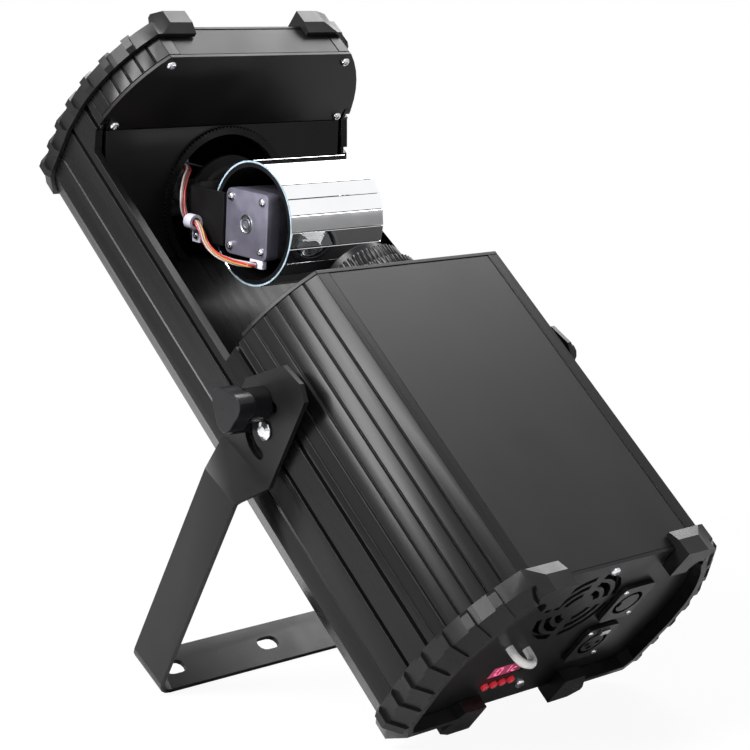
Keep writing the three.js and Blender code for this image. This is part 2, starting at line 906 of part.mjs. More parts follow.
function powerInlet() {
  const face = endPlateY - seat - flangeThick;
  const key = box(
    socketX - socketBore,
    socketX - socketCore + keyHalf,
    face - overrun,
    endPlateY + socketWell,
    powerZ - keyHalf,
    powerZ + keyHalf,
  );
  return socket(powerZ, [key]);
}

const latchLow = signalZ + socketBody - keyHalf;

function signalSocket() {
  const face = endPlateY - seat - flangeThick;
  const pins = [0, 1, 2].map((i) => {
    const angle = pinStep * i + Math.PI;
    const bore = rod(pinBore, face - overrun, endPlateY + socketWell, "y", 10);
    return bore.translate(socketX + pinCircle * Math.cos(angle), 0, signalZ + pinCircle * Math.sin(angle));
  });
  const bed = box(
    socketX - latchHalf - seat,
    socketX + latchHalf + seat,
    face - overrun,
    face + latchThick + seat,
    latchLow,
    latchLow + latchTall + latchTravel + 2 * seat,
  );
  return socket(signalZ, [...pins, bed]);
}

// Latch tab of the signal socket, pushed to let the plug go
function socketLatch() {
  const face = endPlateY - seat - flangeThick;
  const low = latchLow + latchTravel + seat;
  return box(
    socketX - latchHalf,
    socketX + latchHalf,
    face - latchProud,
    face + latchThick,
    low,
    low + latchTall,
  );
}

function displayWindow() {
  const front = rectangle(displayX, displayZ, displayWidth - 2 * seat, displayTall - 2 * seat);
  const back = rectangle(displayX, displayZ, displayWidth + 2 * displayLip, displayTall + 2 * displayLip);
  const rear = endPlateBack + seat;
  return join(bodyPrism(front, endPlateY + seat, rear + displayLip / 2), bodyPrism(back, rear, rear + displayLip));
}

function menuButton(index) {
  const rear = endPlateBack + seat;
  const profile = [
    [0, endPlateY - buttonProud],
    [buttonRadius, endPlateY - buttonProud],
    [buttonRadius, rear],
    [buttonFlange, rear],
    [buttonFlange, rear + buttonCollar],
    [0, rear + buttonCollar],
  ];
  return turned(profile, pinSides).translate(buttonX(index), 0, buttonZ);
}

function controlBoard() {
  const half = displayWidth / 2 + boardMargin;
  const from = endPlateBack + seat + displayLip + buttonCollar + buttonTravel;
  const high = displayZ + displayTall / 2 + displayLip;
  const low = buttonZ - boardMargin;
  const sheet = box(displayX - half, displayX + half, from, from + boardThick, low, high);
  const digits = box(
    displayX - displayWidth / 2,
    displayX + displayWidth / 2,
    endPlateBack + displayLip + 2 * seat,
    from + seat,
    displayZ - displayTall / 2,
    displayZ + displayTall / 2,
  );
  const across = half - boardPostInset;
  const post = rod(boardPost, endPlateBack + seat, from + seat, "y", pinSides);
  const posts = [-1, 1].map((sign) => post.clone().translate(displayX + sign * across, 0, low + boardPostInset));
  return join(sheet, digits, ...posts);
}

// Safety eye: a bent rod with both legs through the end plate and a nut on each
function safetyEye() {
  const base = endPlateBack + seat + eyeLeg + eyeWire / 2;
  const bow = [];
  for (let i = 0; i <= eyeSteps; i += 1) {
    const angle = Math.PI - (Math.PI * i) / eyeSteps;
    const rise = eyeRise * Math.sin(angle) ** eyeBowShare;
    bow.push(new THREE.Vector3(eyeHalf * Math.cos(angle), endPlateY - eyeWire - rise, 0));
  }
  const points = [
    new THREE.Vector3(-eyeHalf, base, 0),
    new THREE.Vector3(-eyeHalf, endPlateBack, 0),
    ...bow,
    new THREE.Vector3(eyeHalf, endPlateBack, 0),
    new THREE.Vector3(eyeHalf, base, 0),
  ];
  const path = new THREE.CatmullRomCurve3(points, false, "centripetal");
  const section = flatShape(circle(0, 0, eyeWire, pinSides), []);
  const wire = new THREE.ExtrudeGeometry(section, { steps: 3 * eyeSteps, extrudePath: path, bevelEnabled: false });
  const nuts = [-1, 1].map((sign) => rod(eyeNut, endPlateBack + seat, endPlateBack + seat + eyeLeg, "y", 6)
    .translate(sign * eyeHalf, 0, 0));
  return join(wire, ...nuts).rotateY(eyeTurn).translate(eyeX, 0, eyeZ);
}

// Fan behind the grille

const fanY = endPlateBack + seat;

function fanFrame() {
  const outline = roundedRectangle(fanX, fanZ, 2 * fanHalf, 2 * fanHalf, fanCorner, 3);
  const ring = bodyPrism(outline, fanY, fanY + fanThick, [circle(fanX, fanZ, fanBore, roundSides)]);
  const back = fanY + fanThick;
  const hub = rod(fanHub, back - fanSpider, back).translate(fanX, 0, fanZ);
  const pin = rod(fanPin, fanY + 2 * fanSpider, back - seat, "y", pinSides).translate(fanX, 0, fanZ);
  const arms = [0, 1, 2].map((i) => {
    const arm = box(fanHub / 2, fanBore + seat, back - fanSpider, back, -fanSpider, fanSpider);
    return arm.rotateY((2 * Math.PI * i) / 3).translate(fanX, 0, fanZ);
  });
  return join(ring, hub, pin, ...arms);
}

function fanRotor() {
  const low = fanY + running;
  const high = fanY + fanThick - fanSpider - running;
  const bore = fanPin + running;
  const cap = fanY + 2 * fanSpider - running;
  const hub = turned([[0, low], [fanHub, low], [fanHub, high], [bore, high], [bore, cap], [0, cap]], smallSides);
  const tip = fanBore - running;
  const blades = [];
  for (let i = 0; i < fanBlades; i += 1) {
    const blade = new THREE.BoxGeometry(tip - fanHub + fanPin, (high - low) * fanBladeShare, fanBladeThick);
    blade.rotateX(fanBladeLean).translate((tip + fanHub - fanPin) / 2, (low + high) / 2, 0);
    blades.push(blade.rotateY((2 * Math.PI * i) / fanBlades));
  }
  const trim = tube(tip - running, fanBore + fanHub, low - overrun, high + overrun);
  return cut(join(hub, ...blades), trim).translate(fanX, 0, fanZ);
}

// Light engine: the power supply stands on the tray's back and carries the rest

const supplyLow = -rearDepth + backWall + seat;
const lidTop = supplyHigh + seat;

function heatSink() {
  const half = sinkWidth / 2;
  const fins = [];
  for (let i = 0; i < finCount; i += 1) {
    const x = -half + finThick / 2 + ((sinkWidth - finThick) * i) / (finCount - 1);
    fins.push(box(x - finThick / 2, x + finThick / 2, sinkY, sinkY + finLength + seat, lidTop, sinkHigh));
  }
  const base = sinkY + finLength;
  return join(box(-half, half, base, base + sinkPlate, lidTop, sinkHigh), ...fins);
}

const moduleY = sinkY + finLength + sinkPlate + seat;

function ledModule() {
  const board = box(
    -moduleHalf,
    moduleHalf,
    moduleY,
    moduleY + moduleThick,
    axisHeight - moduleHalf,
    axisHeight + moduleHalf,
  );
  const top = moduleY + moduleThick;
  const dome = turned(
    [[0, top - seat], [domeLens, top - seat], [domeLens * domeShoulderShare, top + domeLensRise / 2], [0, top + domeLensRise]],
    smallSides,
  );
  return join(board, dome.translate(0, 0, axisHeight));
}

function lensDisc(radius, thick, crown, from) {
  const profile = [
    [0, from - crown],
    [radius / 2, from - crown * crownShares[0]],
    [radius, from],
    [radius, from + thick - crown],
    [radius / 2, from + thick - crown * crownShares[1]],
    [0, from + thick],
  ];
  return turned(profile, roundSides).translate(0, 0, axisHeight);
}

const wheelX = (sign) => sign * wheelPitch * Math.cos(wheelTurn);
const wheelZ = axisHeight - wheelPitch * Math.sin(wheelTurn);

// Wheel of openings on its own shaft, beside the light path
function effectWheel(sign, from, shaftFrom, shaftTo) {
  const holes = [];
  const start = Math.atan2(axisHeight - wheelZ, -wheelX(sign));
  for (let i = 0; i < wheelHoles; i += 1) {
    const angle = start + (2 * Math.PI * i) / wheelHoles;
    holes.push(circle(wheelPitch * Math.cos(angle), wheelPitch * Math.sin(angle), wheelHole, pinSides));
  }
  const disc = bodyPrism(circle(0, 0, wheelRadius, smallSides), from, from + wheelThick, holes);
  const shaft = rod(smallShaft, shaftFrom, shaftTo, "y", 10);
  return join(disc, shaft).translate(wheelX(sign), 0, wheelZ);
}

function smallMotor(sign, from, boreFrom, boreTo) {
  const body = rod(smallMotorRadius, from, from + smallMotorLength);
  const bore = rod(smallShaft + running, boreFrom, boreTo, "y", 10);
  return cut(body, bore).translate(wheelX(sign), 0, wheelZ);
}

const colourMotorY = colourY - bulkheadGap - bulkheadThick - seat - smallMotorLength;
const goboMotorY = goboY + wheelThick + bulkheadGap + bulkheadThick + seat;

function opticsChassis() {
  const bulkheads = [
    [condenserY, condenserRadius + running, null],
    [colourY - bulkheadGap - bulkheadThick, lightHole, -1],
    [goboY + wheelThick + bulkheadGap, lightHole, 1],
    [chassisTo - bulkheadThick, barrelRadius + running, null],
  ];
  const walls = bulkheads.map(([from, hole, sign]) => {
    const holes = [circle(0, axisHeight, hole, smallSides)];
    if (sign) holes[0] = circle(-sign * seat, axisHeight + seat, lightHole - 2 * smallShaft, smallSides);
    if (sign) holes.push(circle(wheelX(sign), wheelZ, smallShaft + running, 10));
    const middle = (lidTop + chassisHigh) / 2;
    const outline = rectangle(0, middle, 2 * chassisHalf, chassisHigh - lidTop);
    return bodyPrism(outline, from, from + bulkheadThick, holes);
  });
  const sheet = box(-chassisHalf, chassisHalf, chassisFrom + sinkPlate, chassisTo, lidTop, lidTop + chassisThick);
  return join(sheet, ...walls);
}

function powerSupply() {
  const wall = supplyWall;
  const shell = box(-supplyHalf, supplyHalf, supplyFrom, supplyTo, supplyLow, supplyHigh);
  const room = box(
    -supplyHalf + wall,
    supplyHalf - wall,
    supplyFrom - overrun,
    supplyTo - wall,
    supplyLow + wall,
    supplyHigh - wall,
  );
  const inside = supplyHigh - supplyLow - 2 * wall;
  const coil = box(-inside, inside, supplyTo - 2 * inside, supplyTo - seat, supplyLow + seat, supplyHigh - inside / 2);
  return join(cut(shell, room), coil);
}

// Lens set standing on the lower closing plate

const sleeveBase = bayY + closingThick + seat;
const focusLow = sleeveBase + collarThick + seat;
const focusHigh = focusLow + focusLength;
const midLow = focusHigh + seat;
const capLow = midLow + midLength;
const lensTop = capLow + capLength;

function lensSleeve() {
  return turned([
    [sleeveBore, bayY - sleeveDepth],
    [barrelRadius, bayY - sleeveDepth],
    [barrelRadius, sleeveBase],
    [collarRadius, sleeveBase],
    [collarRadius, sleeveBase + collarThick],
    [neckRadius, sleeveBase + collarThick],
    [neckRadius, focusHigh - seat],
    [sleeveBore, focusHigh - seat],
  ]).translate(0, 0, axisHeight);
}

function knurledRing(inner, outer, from, to) {
  const outline = toothed(outer, knurlDepth, knurls).map(([x, z]) => [x, z + axisHeight]);
  return bodyPrism(outline, from, to, [circle(0, axisHeight, inner, roundSides)]);
}

const focusRing = () => knurledRing(neckRadius + running, focusRadius, focusLow, focusHigh);

function lensTube() {
  const grip = knurledRing(tubeBore, midRadius, midLow, capLow);
  const lensSeat = lensTop - lensThick - sleeveRim;
  const barrel = turned([
    [tubeBore, midLow - tubeDepth],
    [tubeRadius, midLow - tubeDepth],
    [tubeRadius, capLow - seat],
    [capRadius, capLow - seat],
    [capRadius, lensTop],
    [lensRadius + seat, lensTop],
    [lensRadius + seat, lensSeat],
    [tubeBore, lensSeat],
  ]).translate(0, 0, axisHeight);
  return join(barrel, grip);
}

const frontLens = () => lensDisc(lensRadius, lensThick, lensCrown, lensTop - lensThick - sleeveRim + seat + lensCrown);

// Pan drive, in the bay plate's frame

function turntable() {
  const low = pulleyTop - pulleyThick;
  const top = discLow + discThick;
  return turned(
    [
      [0, -axleEnd],
      [axleRadius, -axleEnd],
      [axleRadius, low],
      [pulleyRadius + flangeRise, low],
      [pulleyRadius + flangeRise, low + flangeThin],
      [pulleyRadius, low + flangeThin],
      [pulleyRadius, pulleyTop],
      [hubRadius, pulleyTop],
      [hubRadius, discLow],
      [discRadius, discLow],
      [discRadius, top],
      [domeRadius, top],
      [domeRadius - domeSlope, top + domeRise],
      [0, top + domeRise],
    ],
    roundSides,
    "z",
  );
}

const postPlaces = [
  [mountRight - postInset, (mountNeck + mountLow) / 2],
  [mountNeckX - 2 * postInset, mountHigh - postInset],
  [mountLeft + postInset, mountLow + postInset],
  [mountLeft + postInset, mountHigh - postInset],
];

function panMount() {
  const outline = [
    [mountLeft, mountLow],
    [mountRight, mountLow],
    [mountRight, mountNeck],
    [mountNeckX, mountNeck],
    [mountNeckX, mountHigh],
    [mountLeft, mountHigh],
  ];
  const plate = upPrism(outline, -mountBack, -mountBack + mountThick);
  const posts = postPlaces.map(([x, y]) => rod(postRadius, -mountBack + seat, -bayPlateThick - seat, "z", pinSides)
    .translate(x, y, 0));
  const bearing = rod(bearingRadius, -mountBack, -mountBack + mountThick + bearingRise, "z");
  const axle = rod(axleRadius + seat, -axleEnd - overrun, overrun, "z");
  const boss = rod(motorBoss + seat, -axleEnd - overrun, 0, "z").translate(panMotorX, panMotorUp, 0);
  return cut(join(plate, bearing, ...posts), axle, boss);
}

function motorOutline(cx, cy) {
  const near = motorHalf - motorChamfer;
  const quarter = [[motorHalf, near], [near, motorHalf]];
  const points = [];
  for (const [sx, sy, flip] of [[1, 1, false], [-1, 1, true], [-1, -1, false], [1, -1, true]]) {
    const corner = flip ? quarter.slice().reverse() : quarter;
    points.push(...corner.map(([u, v]) => [cx + sx * u, cy + sy * v]));
  }
  return points;
}

function panMotor() {
  const front = -mountBack - seat;
  const block = upPrism(motorOutline(panMotorX, panMotorUp), front - panMotorLength, front);
  const boss = rod(motorBoss, front - seat, front + motorBossRise, "z").translate(panMotorX, panMotorUp, 0);
  const bore = rod(motorBore, front - coreShaft, overrun, "z", pinSides).translate(panMotorX, panMotorUp, 0);
  return cut(join(block, boss), bore);
}

function panPinion() {
  const low = pulleyTop - pulleyThick;
  const rim = pinionRadius + flangeRise;
  const profile = [
    [0, -mountBack - coreShaft / 2],
    [motorShaft, -mountBack - coreShaft / 2],
    [motorShaft, low],
    [rim, low],
    [rim, low + flangeThin],
    [pinionRadius, low + flangeThin],
    [pinionRadius, pulleyTop - flangeThin],
    [rim, pulleyTop - flangeThin],
    [rim, pulleyTop],
    [0, pulleyTop],
  ];
  return turned(profile, smallSides, "z").translate(panMotorX, panMotorUp, 0);
}

// Outline round both pulleys at a distance from them
function beltLoop(gap) {
  const far = Math.hypot(panMotorX, panMotorUp);
  const toward = Math.atan2(panMotorUp, panMotorX);
  const open = Math.acos((pulleyRadius - pinionRadius) / far);
  const points = [];
  const arc = (cx, cy, radius, start, end, steps) => {
    for (let i = 0; i <= steps; i += 1) {
      const angle = start + ((end - start) * i) / steps;
      points.push([cx + radius * Math.cos(angle), cy + radius * Math.sin(angle)]);
    }
  };
  arc(0, 0, pulleyRadius + gap, toward + open, toward + 2 * Math.PI - open, smallSides);
  arc(panMotorX, panMotorUp, pinionRadius + gap, toward - open, toward + open, pinSides);
  return points;
}

function panBelt() {
  const low = pulleyTop - pulleyThick + flangeThin + seat;
  return upPrism(beltLoop(seat + beltThick), low, pulleyTop - flangeThin - seat, [beltLoop(seat + seat / 2)]);
}

// Motor arm: foot on the turning disc, slanted to the upright, then a shelf inside the drum
const armFootZ = discLow + discThick + domeRise + seat;
const shelfTop = drumHeight - motorHalf - seat;
const platePlace = drumMotorFront + seat;

function motorArm() {
  const t = armThick;
  const left = armX - t;
  const profile = [
    [armFootRight, armFootZ],
    [armFootLeft, armFootZ],
    [left, armKneeHeight],
    [left, shelfTop],
    [platePlace, shelfTop],
    [platePlace, drumHeight + motorHalf],
    [platePlace + t, drumHeight + motorHalf],
    [platePlace + t, shelfTop - t],
    [armX, shelfTop - t],
    [armX, armKneeHeight + t / 2],
    [armFootLeft + t / 2, armFootZ + t],
    [armFootRight, armFootZ + t],
  ];
  const folded = bodyPrism(profile, -armHalf, armHalf);
  const hole = rod(motorBoss + running, platePlace - overrun, platePlace + t + overrun, "x");
  return cut(folded, hole.translate(0, 0, drumHeight));
}

function drumMotor() {
  const front = drumMotorFront;
  const block = crossPrism(motorOutline(0, drumHeight), drumMotorRear, front);
  const boss = rod(motorBoss, front - seat, front + motorBossRise, "x").translate(0, 0, drumHeight);
  const bore = rod(motorBore, front - 2 * coreShaft, front + overrun, "x", pinSides).translate(0, 0, drumHeight);
  const rear = rod(motorRearBore, drumMotorRear - overrun, drumMotorRear + motorRearDepth, "x", pinSides);
  const connector = box(
    drumMotorRear + seat,
    drumMotorRear + seat + connectorLong,
    -motorHalf - connectorDeep,
    -motorHalf + seat,
    drumHeight + connectorLow,
    drumHeight + connectorHigh,
  );
  return cut(join(block, boss, connector), bore, rear.translate(0, 0, drumHeight));
}

function drumCore() {
  const rim = sleeveInner - seat;
  const wall = drumRight - coreEndWall;
  const hub = wall - coreHubLength;
  return turned(
    [
      [0, drumMotorFront - coreShaft],
      [motorShaft, drumMotorFront - coreShaft],
      [motorShaft, hub],
      [coreHub, hub],
      [coreHub, wall],
      [rim - coreWall, wall],
      [rim - coreWall, drumLeft],
      [rim, drumLeft],
      [rim, drumRight],
      [0, drumRight],
    ],
    roundSides,
    "x",
  ).translate(0, 0, drumHeight);
}

// Sleeve of flat mirrors, parted by notches
function mirrorSleeve() {
  const step = (2 * Math.PI) / mirrorCount;
  const half = step / 2 - mirrorGap / 2 / mirrorRadius;
  const points = [];
  for (let i = 0; i < mirrorCount; i += 1) {
    const middle = step * i;
    const deep = mirrorRadius - mirrorNotch;
    points.push([mirrorRadius * Math.cos(middle - half), drumHeight + mirrorRadius * Math.sin(middle - half)]);
    points.push([mirrorRadius * Math.cos(middle + half), drumHeight + mirrorRadius * Math.sin(middle + half)]);
    points.push([deep * Math.cos(middle + step / 2), drumHeight + deep * Math.sin(middle + step / 2)]);
  }
  const inner = sleeveInner / Math.cos(Math.PI / roundSides);
  return crossPrism(points, drumLeft, drumRight, [circle(0, drumHeight, inner, roundSides)]);
}

const loomRoute = [
  [-31, 24, -2],
  [-32.5, 23.5, 4],
  [-40, 18, 11],
  [-44.5, 8, 15.5],
  [-45.3, -1, 19],
  [-45.3, -4.5, 24],
  [-45.3, -4.5, 30],
  [-45.6, -8.5, 36],
  [-46, -15, 41.5],
  [-45.5, -20, 50],
  [-43.8, -22.5, 62],
  [-43, -22.5, 74],
  [-41.5, -22.3, 79],
  [-39.6, -22.3, 80],
];

function wireLoom() {
  const path = new THREE.CatmullRomCurve3(loomRoute.map((point) => new THREE.Vector3(...point)));
  const section = flatShape(circle(0, 0, loomRadius, loomSides), []);
  return new THREE.ExtrudeGeometry(section, { steps: 24, extrudePath: path, bevelEnabled: false });
}

// Clip that holds the loom, with a tab screwed to the arm
function cableClip() {
  const ring = tube(clipBore, clipRadius, -clipWidth / 2, clipWidth / 2, "y", smallSides);
  const tabX = armX - armThick - seat - clipPlace[0];
  const tabFrom = -clipRadius - clipTabLong;
  const tab = box(tabX - clipTabThick, tabX, -clipTabHalf, clipTabHalf, tabFrom, 0);
  const bridge = box(0, tabX, -clipWidth / 2, clipWidth / 2, -clipRadius, -clipBore - seat);
  const hole = rod(clipHole, 0, tabX + overrun, "x", 10).translate(0, 0, tabFrom + clipTabHalf);
  const clip = cut(join(cut(tab, rod(clipBore, -clipWidth, clipWidth, "y")), ring, bridge), hole);
  return clip.rotateX(clipTurn).translate(...clipPlace);
}

// Bracket, in its own frame at the pivot

const earOuter = earInner + stripThick;
const stripOuter = earOuter + joggleOut;

function bracket() {
  const half = earRight + overrun;
  const base = -bracketReach;
  const outerBend = bendRadius + stripThick;
  const bend = (radius) => {
    const points = [];
    for (let i = 0; i <= bendSteps; i += 1) {
      const angle = (-Math.PI / 2) * (i / bendSteps);
      const cx = stripOuter - outerBend;
      points.push([cx + radius * Math.cos(angle), base + bendRadius + radius * Math.sin(angle)]);
    }
    return points;
  };
  const lap = stripThick / 2;
  const outer = [
    [earOuter, earCrown + overrun],
    [earOuter, -earLow],
    [stripOuter, -earLow - joggleDown],
    ...bend(outerBend),
  ];
  const inner = [
    [earInner, earCrown + overrun],
    [earInner, -earLow - lap],
    [stripOuter - stripThick, -earLow - joggleDown - lap],
    ...bend(bendRadius),
  ];
  const section = [...outer, ...mirrored(outer), ...mirrored(inner.slice().reverse()), ...inner.slice().reverse()];
  const silhouette = [
    [-earLeft, -earLow],
    [-earLeft, earTop],
    [-earCrownLeft, earCrown],
    [earCrownRight, earCrown],
    [earRight, earShoulder],
    [earRight, -earLow],
    [stripHalf, -earLow - joggleDown],
    [stripHalf, base - 2 * stripThick],
    [-stripHalf, base - 2 * stripThick],
    [-stripHalf, -earLow - joggleDown],
  ];
  const reach = stripOuter + overrun;
  const folded = common(bodyPrism(section, -half, half), crossPrism(silhouette, -reach, reach));
  const bolt = boltRadius + running;
  const from = lowerStud.angle() - 2 * Math.PI + bracketLean - tiltUp - slotSpare;
  const to = upperStud.angle() + bracketLean + tiltDown + slotSpare;
  const slot = arcSlot(0, 0, slotRadius - bolt, slotRadius + bolt, from, to, 2 * arcSteps);
  const ends = [from, to].map((angle) => rod(bolt, -reach, reach, "x", pinSides)
    .translate(0, slotRadius * Math.cos(angle), slotRadius * Math.sin(angle)));
  const places = [baseSlotOuter, baseSlotOuter - baseSlotSpacing];
  const slots = [...places, ...places.map((x) => -x)].map((x) => {
    const outline = roundedRectangle(x, 0, baseSlotLength, baseSlotWidth, baseSlotWidth / 2 - seat, 3);
    return upPrism(outline, base - stripThick - overrun, base + overrun);
  });
  const pivot = rod(pivotRadius + running, -reach, reach, "x", pinSides);
  return cut(folded, crossPrism(slot, -reach, reach), ...ends, pivot, ...slots);
}

// Right-hand pivot screw with its washer and the nut inside the wall
function pivotScrew() {
  const wallIn = trayX(upperSlotHeight) - trayWall - seat;
  const washerIn = hoodRadius + seat;
  return turned(
    [
      [0, wallIn - nutThick],
      [screwHead, wallIn - nutThick],
      [screwHead, wallIn],
      [pivotRadius, wallIn],
      [pivotRadius, washerIn],
      [washerRadius, washerIn],
      [washerRadius, earInner - seat],
      [pivotRadius, earInner - seat],
      [pivotRadius, earOuter + seat],
      [screwHead, earOuter + seat],
      [screwHead, earOuter + screwHeadThick / 2],
      [pivotRadius, earOuter + screwHeadThick],
      [0, earOuter + screwHeadThick],
    ],
    pinSides,
    "x",
  ).translate(0, pivotY, pivotZ);
}

// Stud in the lower T-slot that stops the bracket
function slotStud() {
  const end = earOuter + studLength;
  return turned(
    [
      [0, hoodRadius - trayWall],
      [boltRadius, hoodRadius - trayWall],
      [boltRadius, earOuter + seat],
      [studRadius, earOuter + seat],
      [studRadius, end - seat],
      [studRadius - running, end + seat],
      [0, end + seat],
    ],
    pinSides,
    "x",
  ).translate(0, pivotY + lowerStud.x, lowerSlotHeight);
}

// Clamp knob on its bolt, with a lobed grip
function clampKnob() {
  const hubIn = earOuter + seat;
  const gripIn = hubIn + knobHubLength;
  const bolt = rod(boltRadius, hoodRadius - trayWall, gripIn, "x", pinSides);
  const hub = rod(knobHub, hubIn, gripIn + seat, "x", smallSides);
  const grip = [];
  for (let i = 0; i < knobSides; i += 1) {
    const angle = (2 * Math.PI * i) / knobSides;
    const radius = knobMean + knobWave * Math.cos(knobLobes * angle);
    grip.push([radius * Math.cos(angle), radius * Math.sin(angle)]);
  }
  const lobes = crossPrism(grip, gripIn, gripIn + knobLength);
  return join(bolt, hub, lobes).translate(0, pivotY + upperStud.x, upperSlotHeight);
}

// Assembly

const body = new THREE.Group();
body.add(
  piece("rear_housing", rearHousing(), "housing"),
  piece("front_housing", bodyPrism(hoodOutline(), bodyY, bayY - seat), "housing"),
  piece("front_panel", frontPanel(bodyY, bayY - seat), "panel"),
  piece("head_housing", bodyPrism(hoodOutline(), headBodyY, bodyEndY), "housing"),
  piece("head_panel", frontPanel(headBodyY, bodyEndY), "panel"),
  piece("head_closing_plate", headClosingPlate(), "plate"),
  piece("lower_closing_plate", lowerClosingPlate(), "plate"),
  piece("bottom_end_plate", bottomEndPlate(), "plate"),
  piece("top_end_plate", bodyPrism(bodyOutline(), topPlateY, topPlateY + endPlateThick), "plate"),
  piece("fan_frame", fanFrame(), "moulded"),
  piece("fan_rotor", fanRotor(), "moulded"),
  piece("power_inlet", powerInlet(), "moulded"),
  piece("signal_socket", signalSocket(), "moulded"),
  piece("socket_latch", socketLatch(), "steel"),
  piece("display_window", displayWindow(), "red"),
  piece("control_board", controlBoard(), "board"),
  piece("safety_eye", safetyEye(), "white"),
  piece("heat_sink", heatSink(), "steel"),
  piece("led_module", ledModule(), "board"),
  piece("condenser_lens", lensDisc(condenserRadius, condenserThick, lensCrown, condenserY), "glass"),
  piece("colour_wheel", effectWheel(-1, colourY, colourMotorY + smallMotorLength / 2, colourY + seat), "steel"),
  piece("colour_motor", smallMotor(-1, colourMotorY, colourMotorY + smallMotorLength / 4, goboY), "motor"),
  piece("gobo_wheel", effectWheel(1, goboY, goboY + seat, goboMotorY + smallMotorLength / 2), "steel"),
  piece("gobo_motor", smallMotor(1, goboMotorY, colourY, goboMotorY + (3 * smallMotorLength) / 4), "motor"),
  piece("optics_chassis", opticsChassis(), "steel"),
  piece("power_supply", powerSupply(), "steel"),
  piece("lens_sleeve", lensSleeve(), "moulded"),
  piece("focus_ring", focusRing(), "moulded"),
  piece("lens_tube", lensTube(), "moulded"),
  piece("front_lens", frontLens(), "glass"),
  piece("pivot_screw_right", pivotScrew(), "steel"),
  piece("pivot_screw_left", leftOf(pivotScrew()), "steel"),
  piece("slot_stud_right", slotStud(), "moulded"),
  piece("slot_stud_left", leftOf(slotStud()), "moulded"),
  piece("clamp_knob_right", clampKnob(), "moulded"),
  piece("clamp_knob_left", leftOf(clampKnob()), "moulded"),
  piece("bumper_bottom_right", bumper(), "moulded"),
  piece("bumper_bottom_left", leftOf(bumper()), "moulded"),
  piece("bumper_top_right", headOf(bumper()), "moulded"),
  piece("bumper_top_left", headOf(leftOf(bumper())), "moulded"),
);
for (let i = 0; i < buttonCount; i += 1) {
  body.add(piece(`menu_button_${i + 1}`, menuButton(i), "red"));
}

const bay = new THREE.Group();
bay.position.copy(plateCentre);
bay.rotation.x = bayAngle;
bay.add(
  piece("bay_plate", bayPlate(), "plate"),
  piece("bay_ring", bayRing(), "moulded"),
  piece("pan_mount", panMount(), "steel"),
  piece("pan_motor", panMotor(), "motor"),
  piece("pan_pinion", panPinion(), "steel"),
  piece("pan_belt", panBelt(), "moulded"),
  piece("turntable", turntable(), "housing"),
  piece("motor_arm", motorArm(), "plate"),
  piece("drum_motor", drumMotor(), "motor"),
  piece("cable_clip", cableClip(), "white"),
  piece("wire_loom", wireLoom(), "wire"),
  piece("drum_core", drumCore(), "plate"),
  piece("mirror_sleeve", mirrorSleeve(), "mirror"),
);
body.add(bay);

const bracketFrame = new THREE.Group();
bracketFrame.position.set(0, pivotY, pivotZ);
bracketFrame.rotation.x = -bracketLean;
bracketFrame.add(piece("bracket", bracket(), "housing"));
body.add(bracketFrame);

// The light stands on the back corner of its bottom bumpers and on the near edge of the base
const heel = new THREE.Vector2(rimY, -rearDepth - rearFootProud);
const toe = new THREE.Vector2(-stripHalf, -bracketReach - stripThick)
  .rotateAround(new THREE.Vector2(), -bracketLean)
  .add(new THREE.Vector2(pivotY, pivotZ));
body.rotation.x = -toe.sub(heel).angle();

const light = new THREE.Group();
light.add(body);
light.updateMatrixWorld(true);
const bounds = new THREE.Box3().setFromObject(light, true);
const middle = bounds.getCenter(new THREE.Vector3());
light.position.set(-middle.x, -middle.y, -bounds.min.z);

export default light;
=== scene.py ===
# %% [markdown]
# ## A scanner light, dressed for its portrait
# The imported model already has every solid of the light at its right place. This lesson gives those
# solids soft edges, real finishes and the small pieces that a maker adds last: screws, fine teeth,
# coloured wires, glowing digits. Nothing here moves a solid or changes its size.

import json
import math

import bmesh
import bpy
from mathutils import Matrix, Vector


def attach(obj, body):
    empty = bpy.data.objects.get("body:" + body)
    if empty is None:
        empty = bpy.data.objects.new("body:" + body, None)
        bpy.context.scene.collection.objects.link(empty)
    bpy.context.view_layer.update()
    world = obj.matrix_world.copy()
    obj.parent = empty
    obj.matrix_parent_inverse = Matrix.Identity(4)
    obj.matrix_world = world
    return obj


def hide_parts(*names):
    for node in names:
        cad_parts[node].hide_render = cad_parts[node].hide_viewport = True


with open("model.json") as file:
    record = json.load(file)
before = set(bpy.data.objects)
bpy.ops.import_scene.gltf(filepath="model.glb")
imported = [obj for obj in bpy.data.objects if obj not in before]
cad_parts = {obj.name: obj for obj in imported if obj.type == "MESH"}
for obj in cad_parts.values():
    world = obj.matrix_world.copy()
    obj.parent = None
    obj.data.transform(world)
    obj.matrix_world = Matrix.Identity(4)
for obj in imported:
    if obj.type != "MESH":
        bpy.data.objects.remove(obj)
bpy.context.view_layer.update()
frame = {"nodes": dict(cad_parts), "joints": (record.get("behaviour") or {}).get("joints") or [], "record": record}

# %% [markdown]
# ### Frames to work in
# The body leans, the bay plate is slanted and the bracket is turned, so each gets a frame of its own
# in which sizes are plain millimetres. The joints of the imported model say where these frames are:
# the lens slides along the body, the plate's disc turns about its normal, and the bracket turns
# about its pivot.

# %% Frames of the body, the bay plate and the bracket
MM = 0.001
JOINTS = {joint["name"]: joint for joint in frame["joints"]}
BRACKET_BACK_LEAN = math.radians(10.5)
PIVOT_ON_BODY = Vector((0.0, 182.5, -5.5)) * MM


def frame_at(origin, lean):
    return Matrix.Translation(origin) @ Matrix.Rotation(lean, 4, "X")


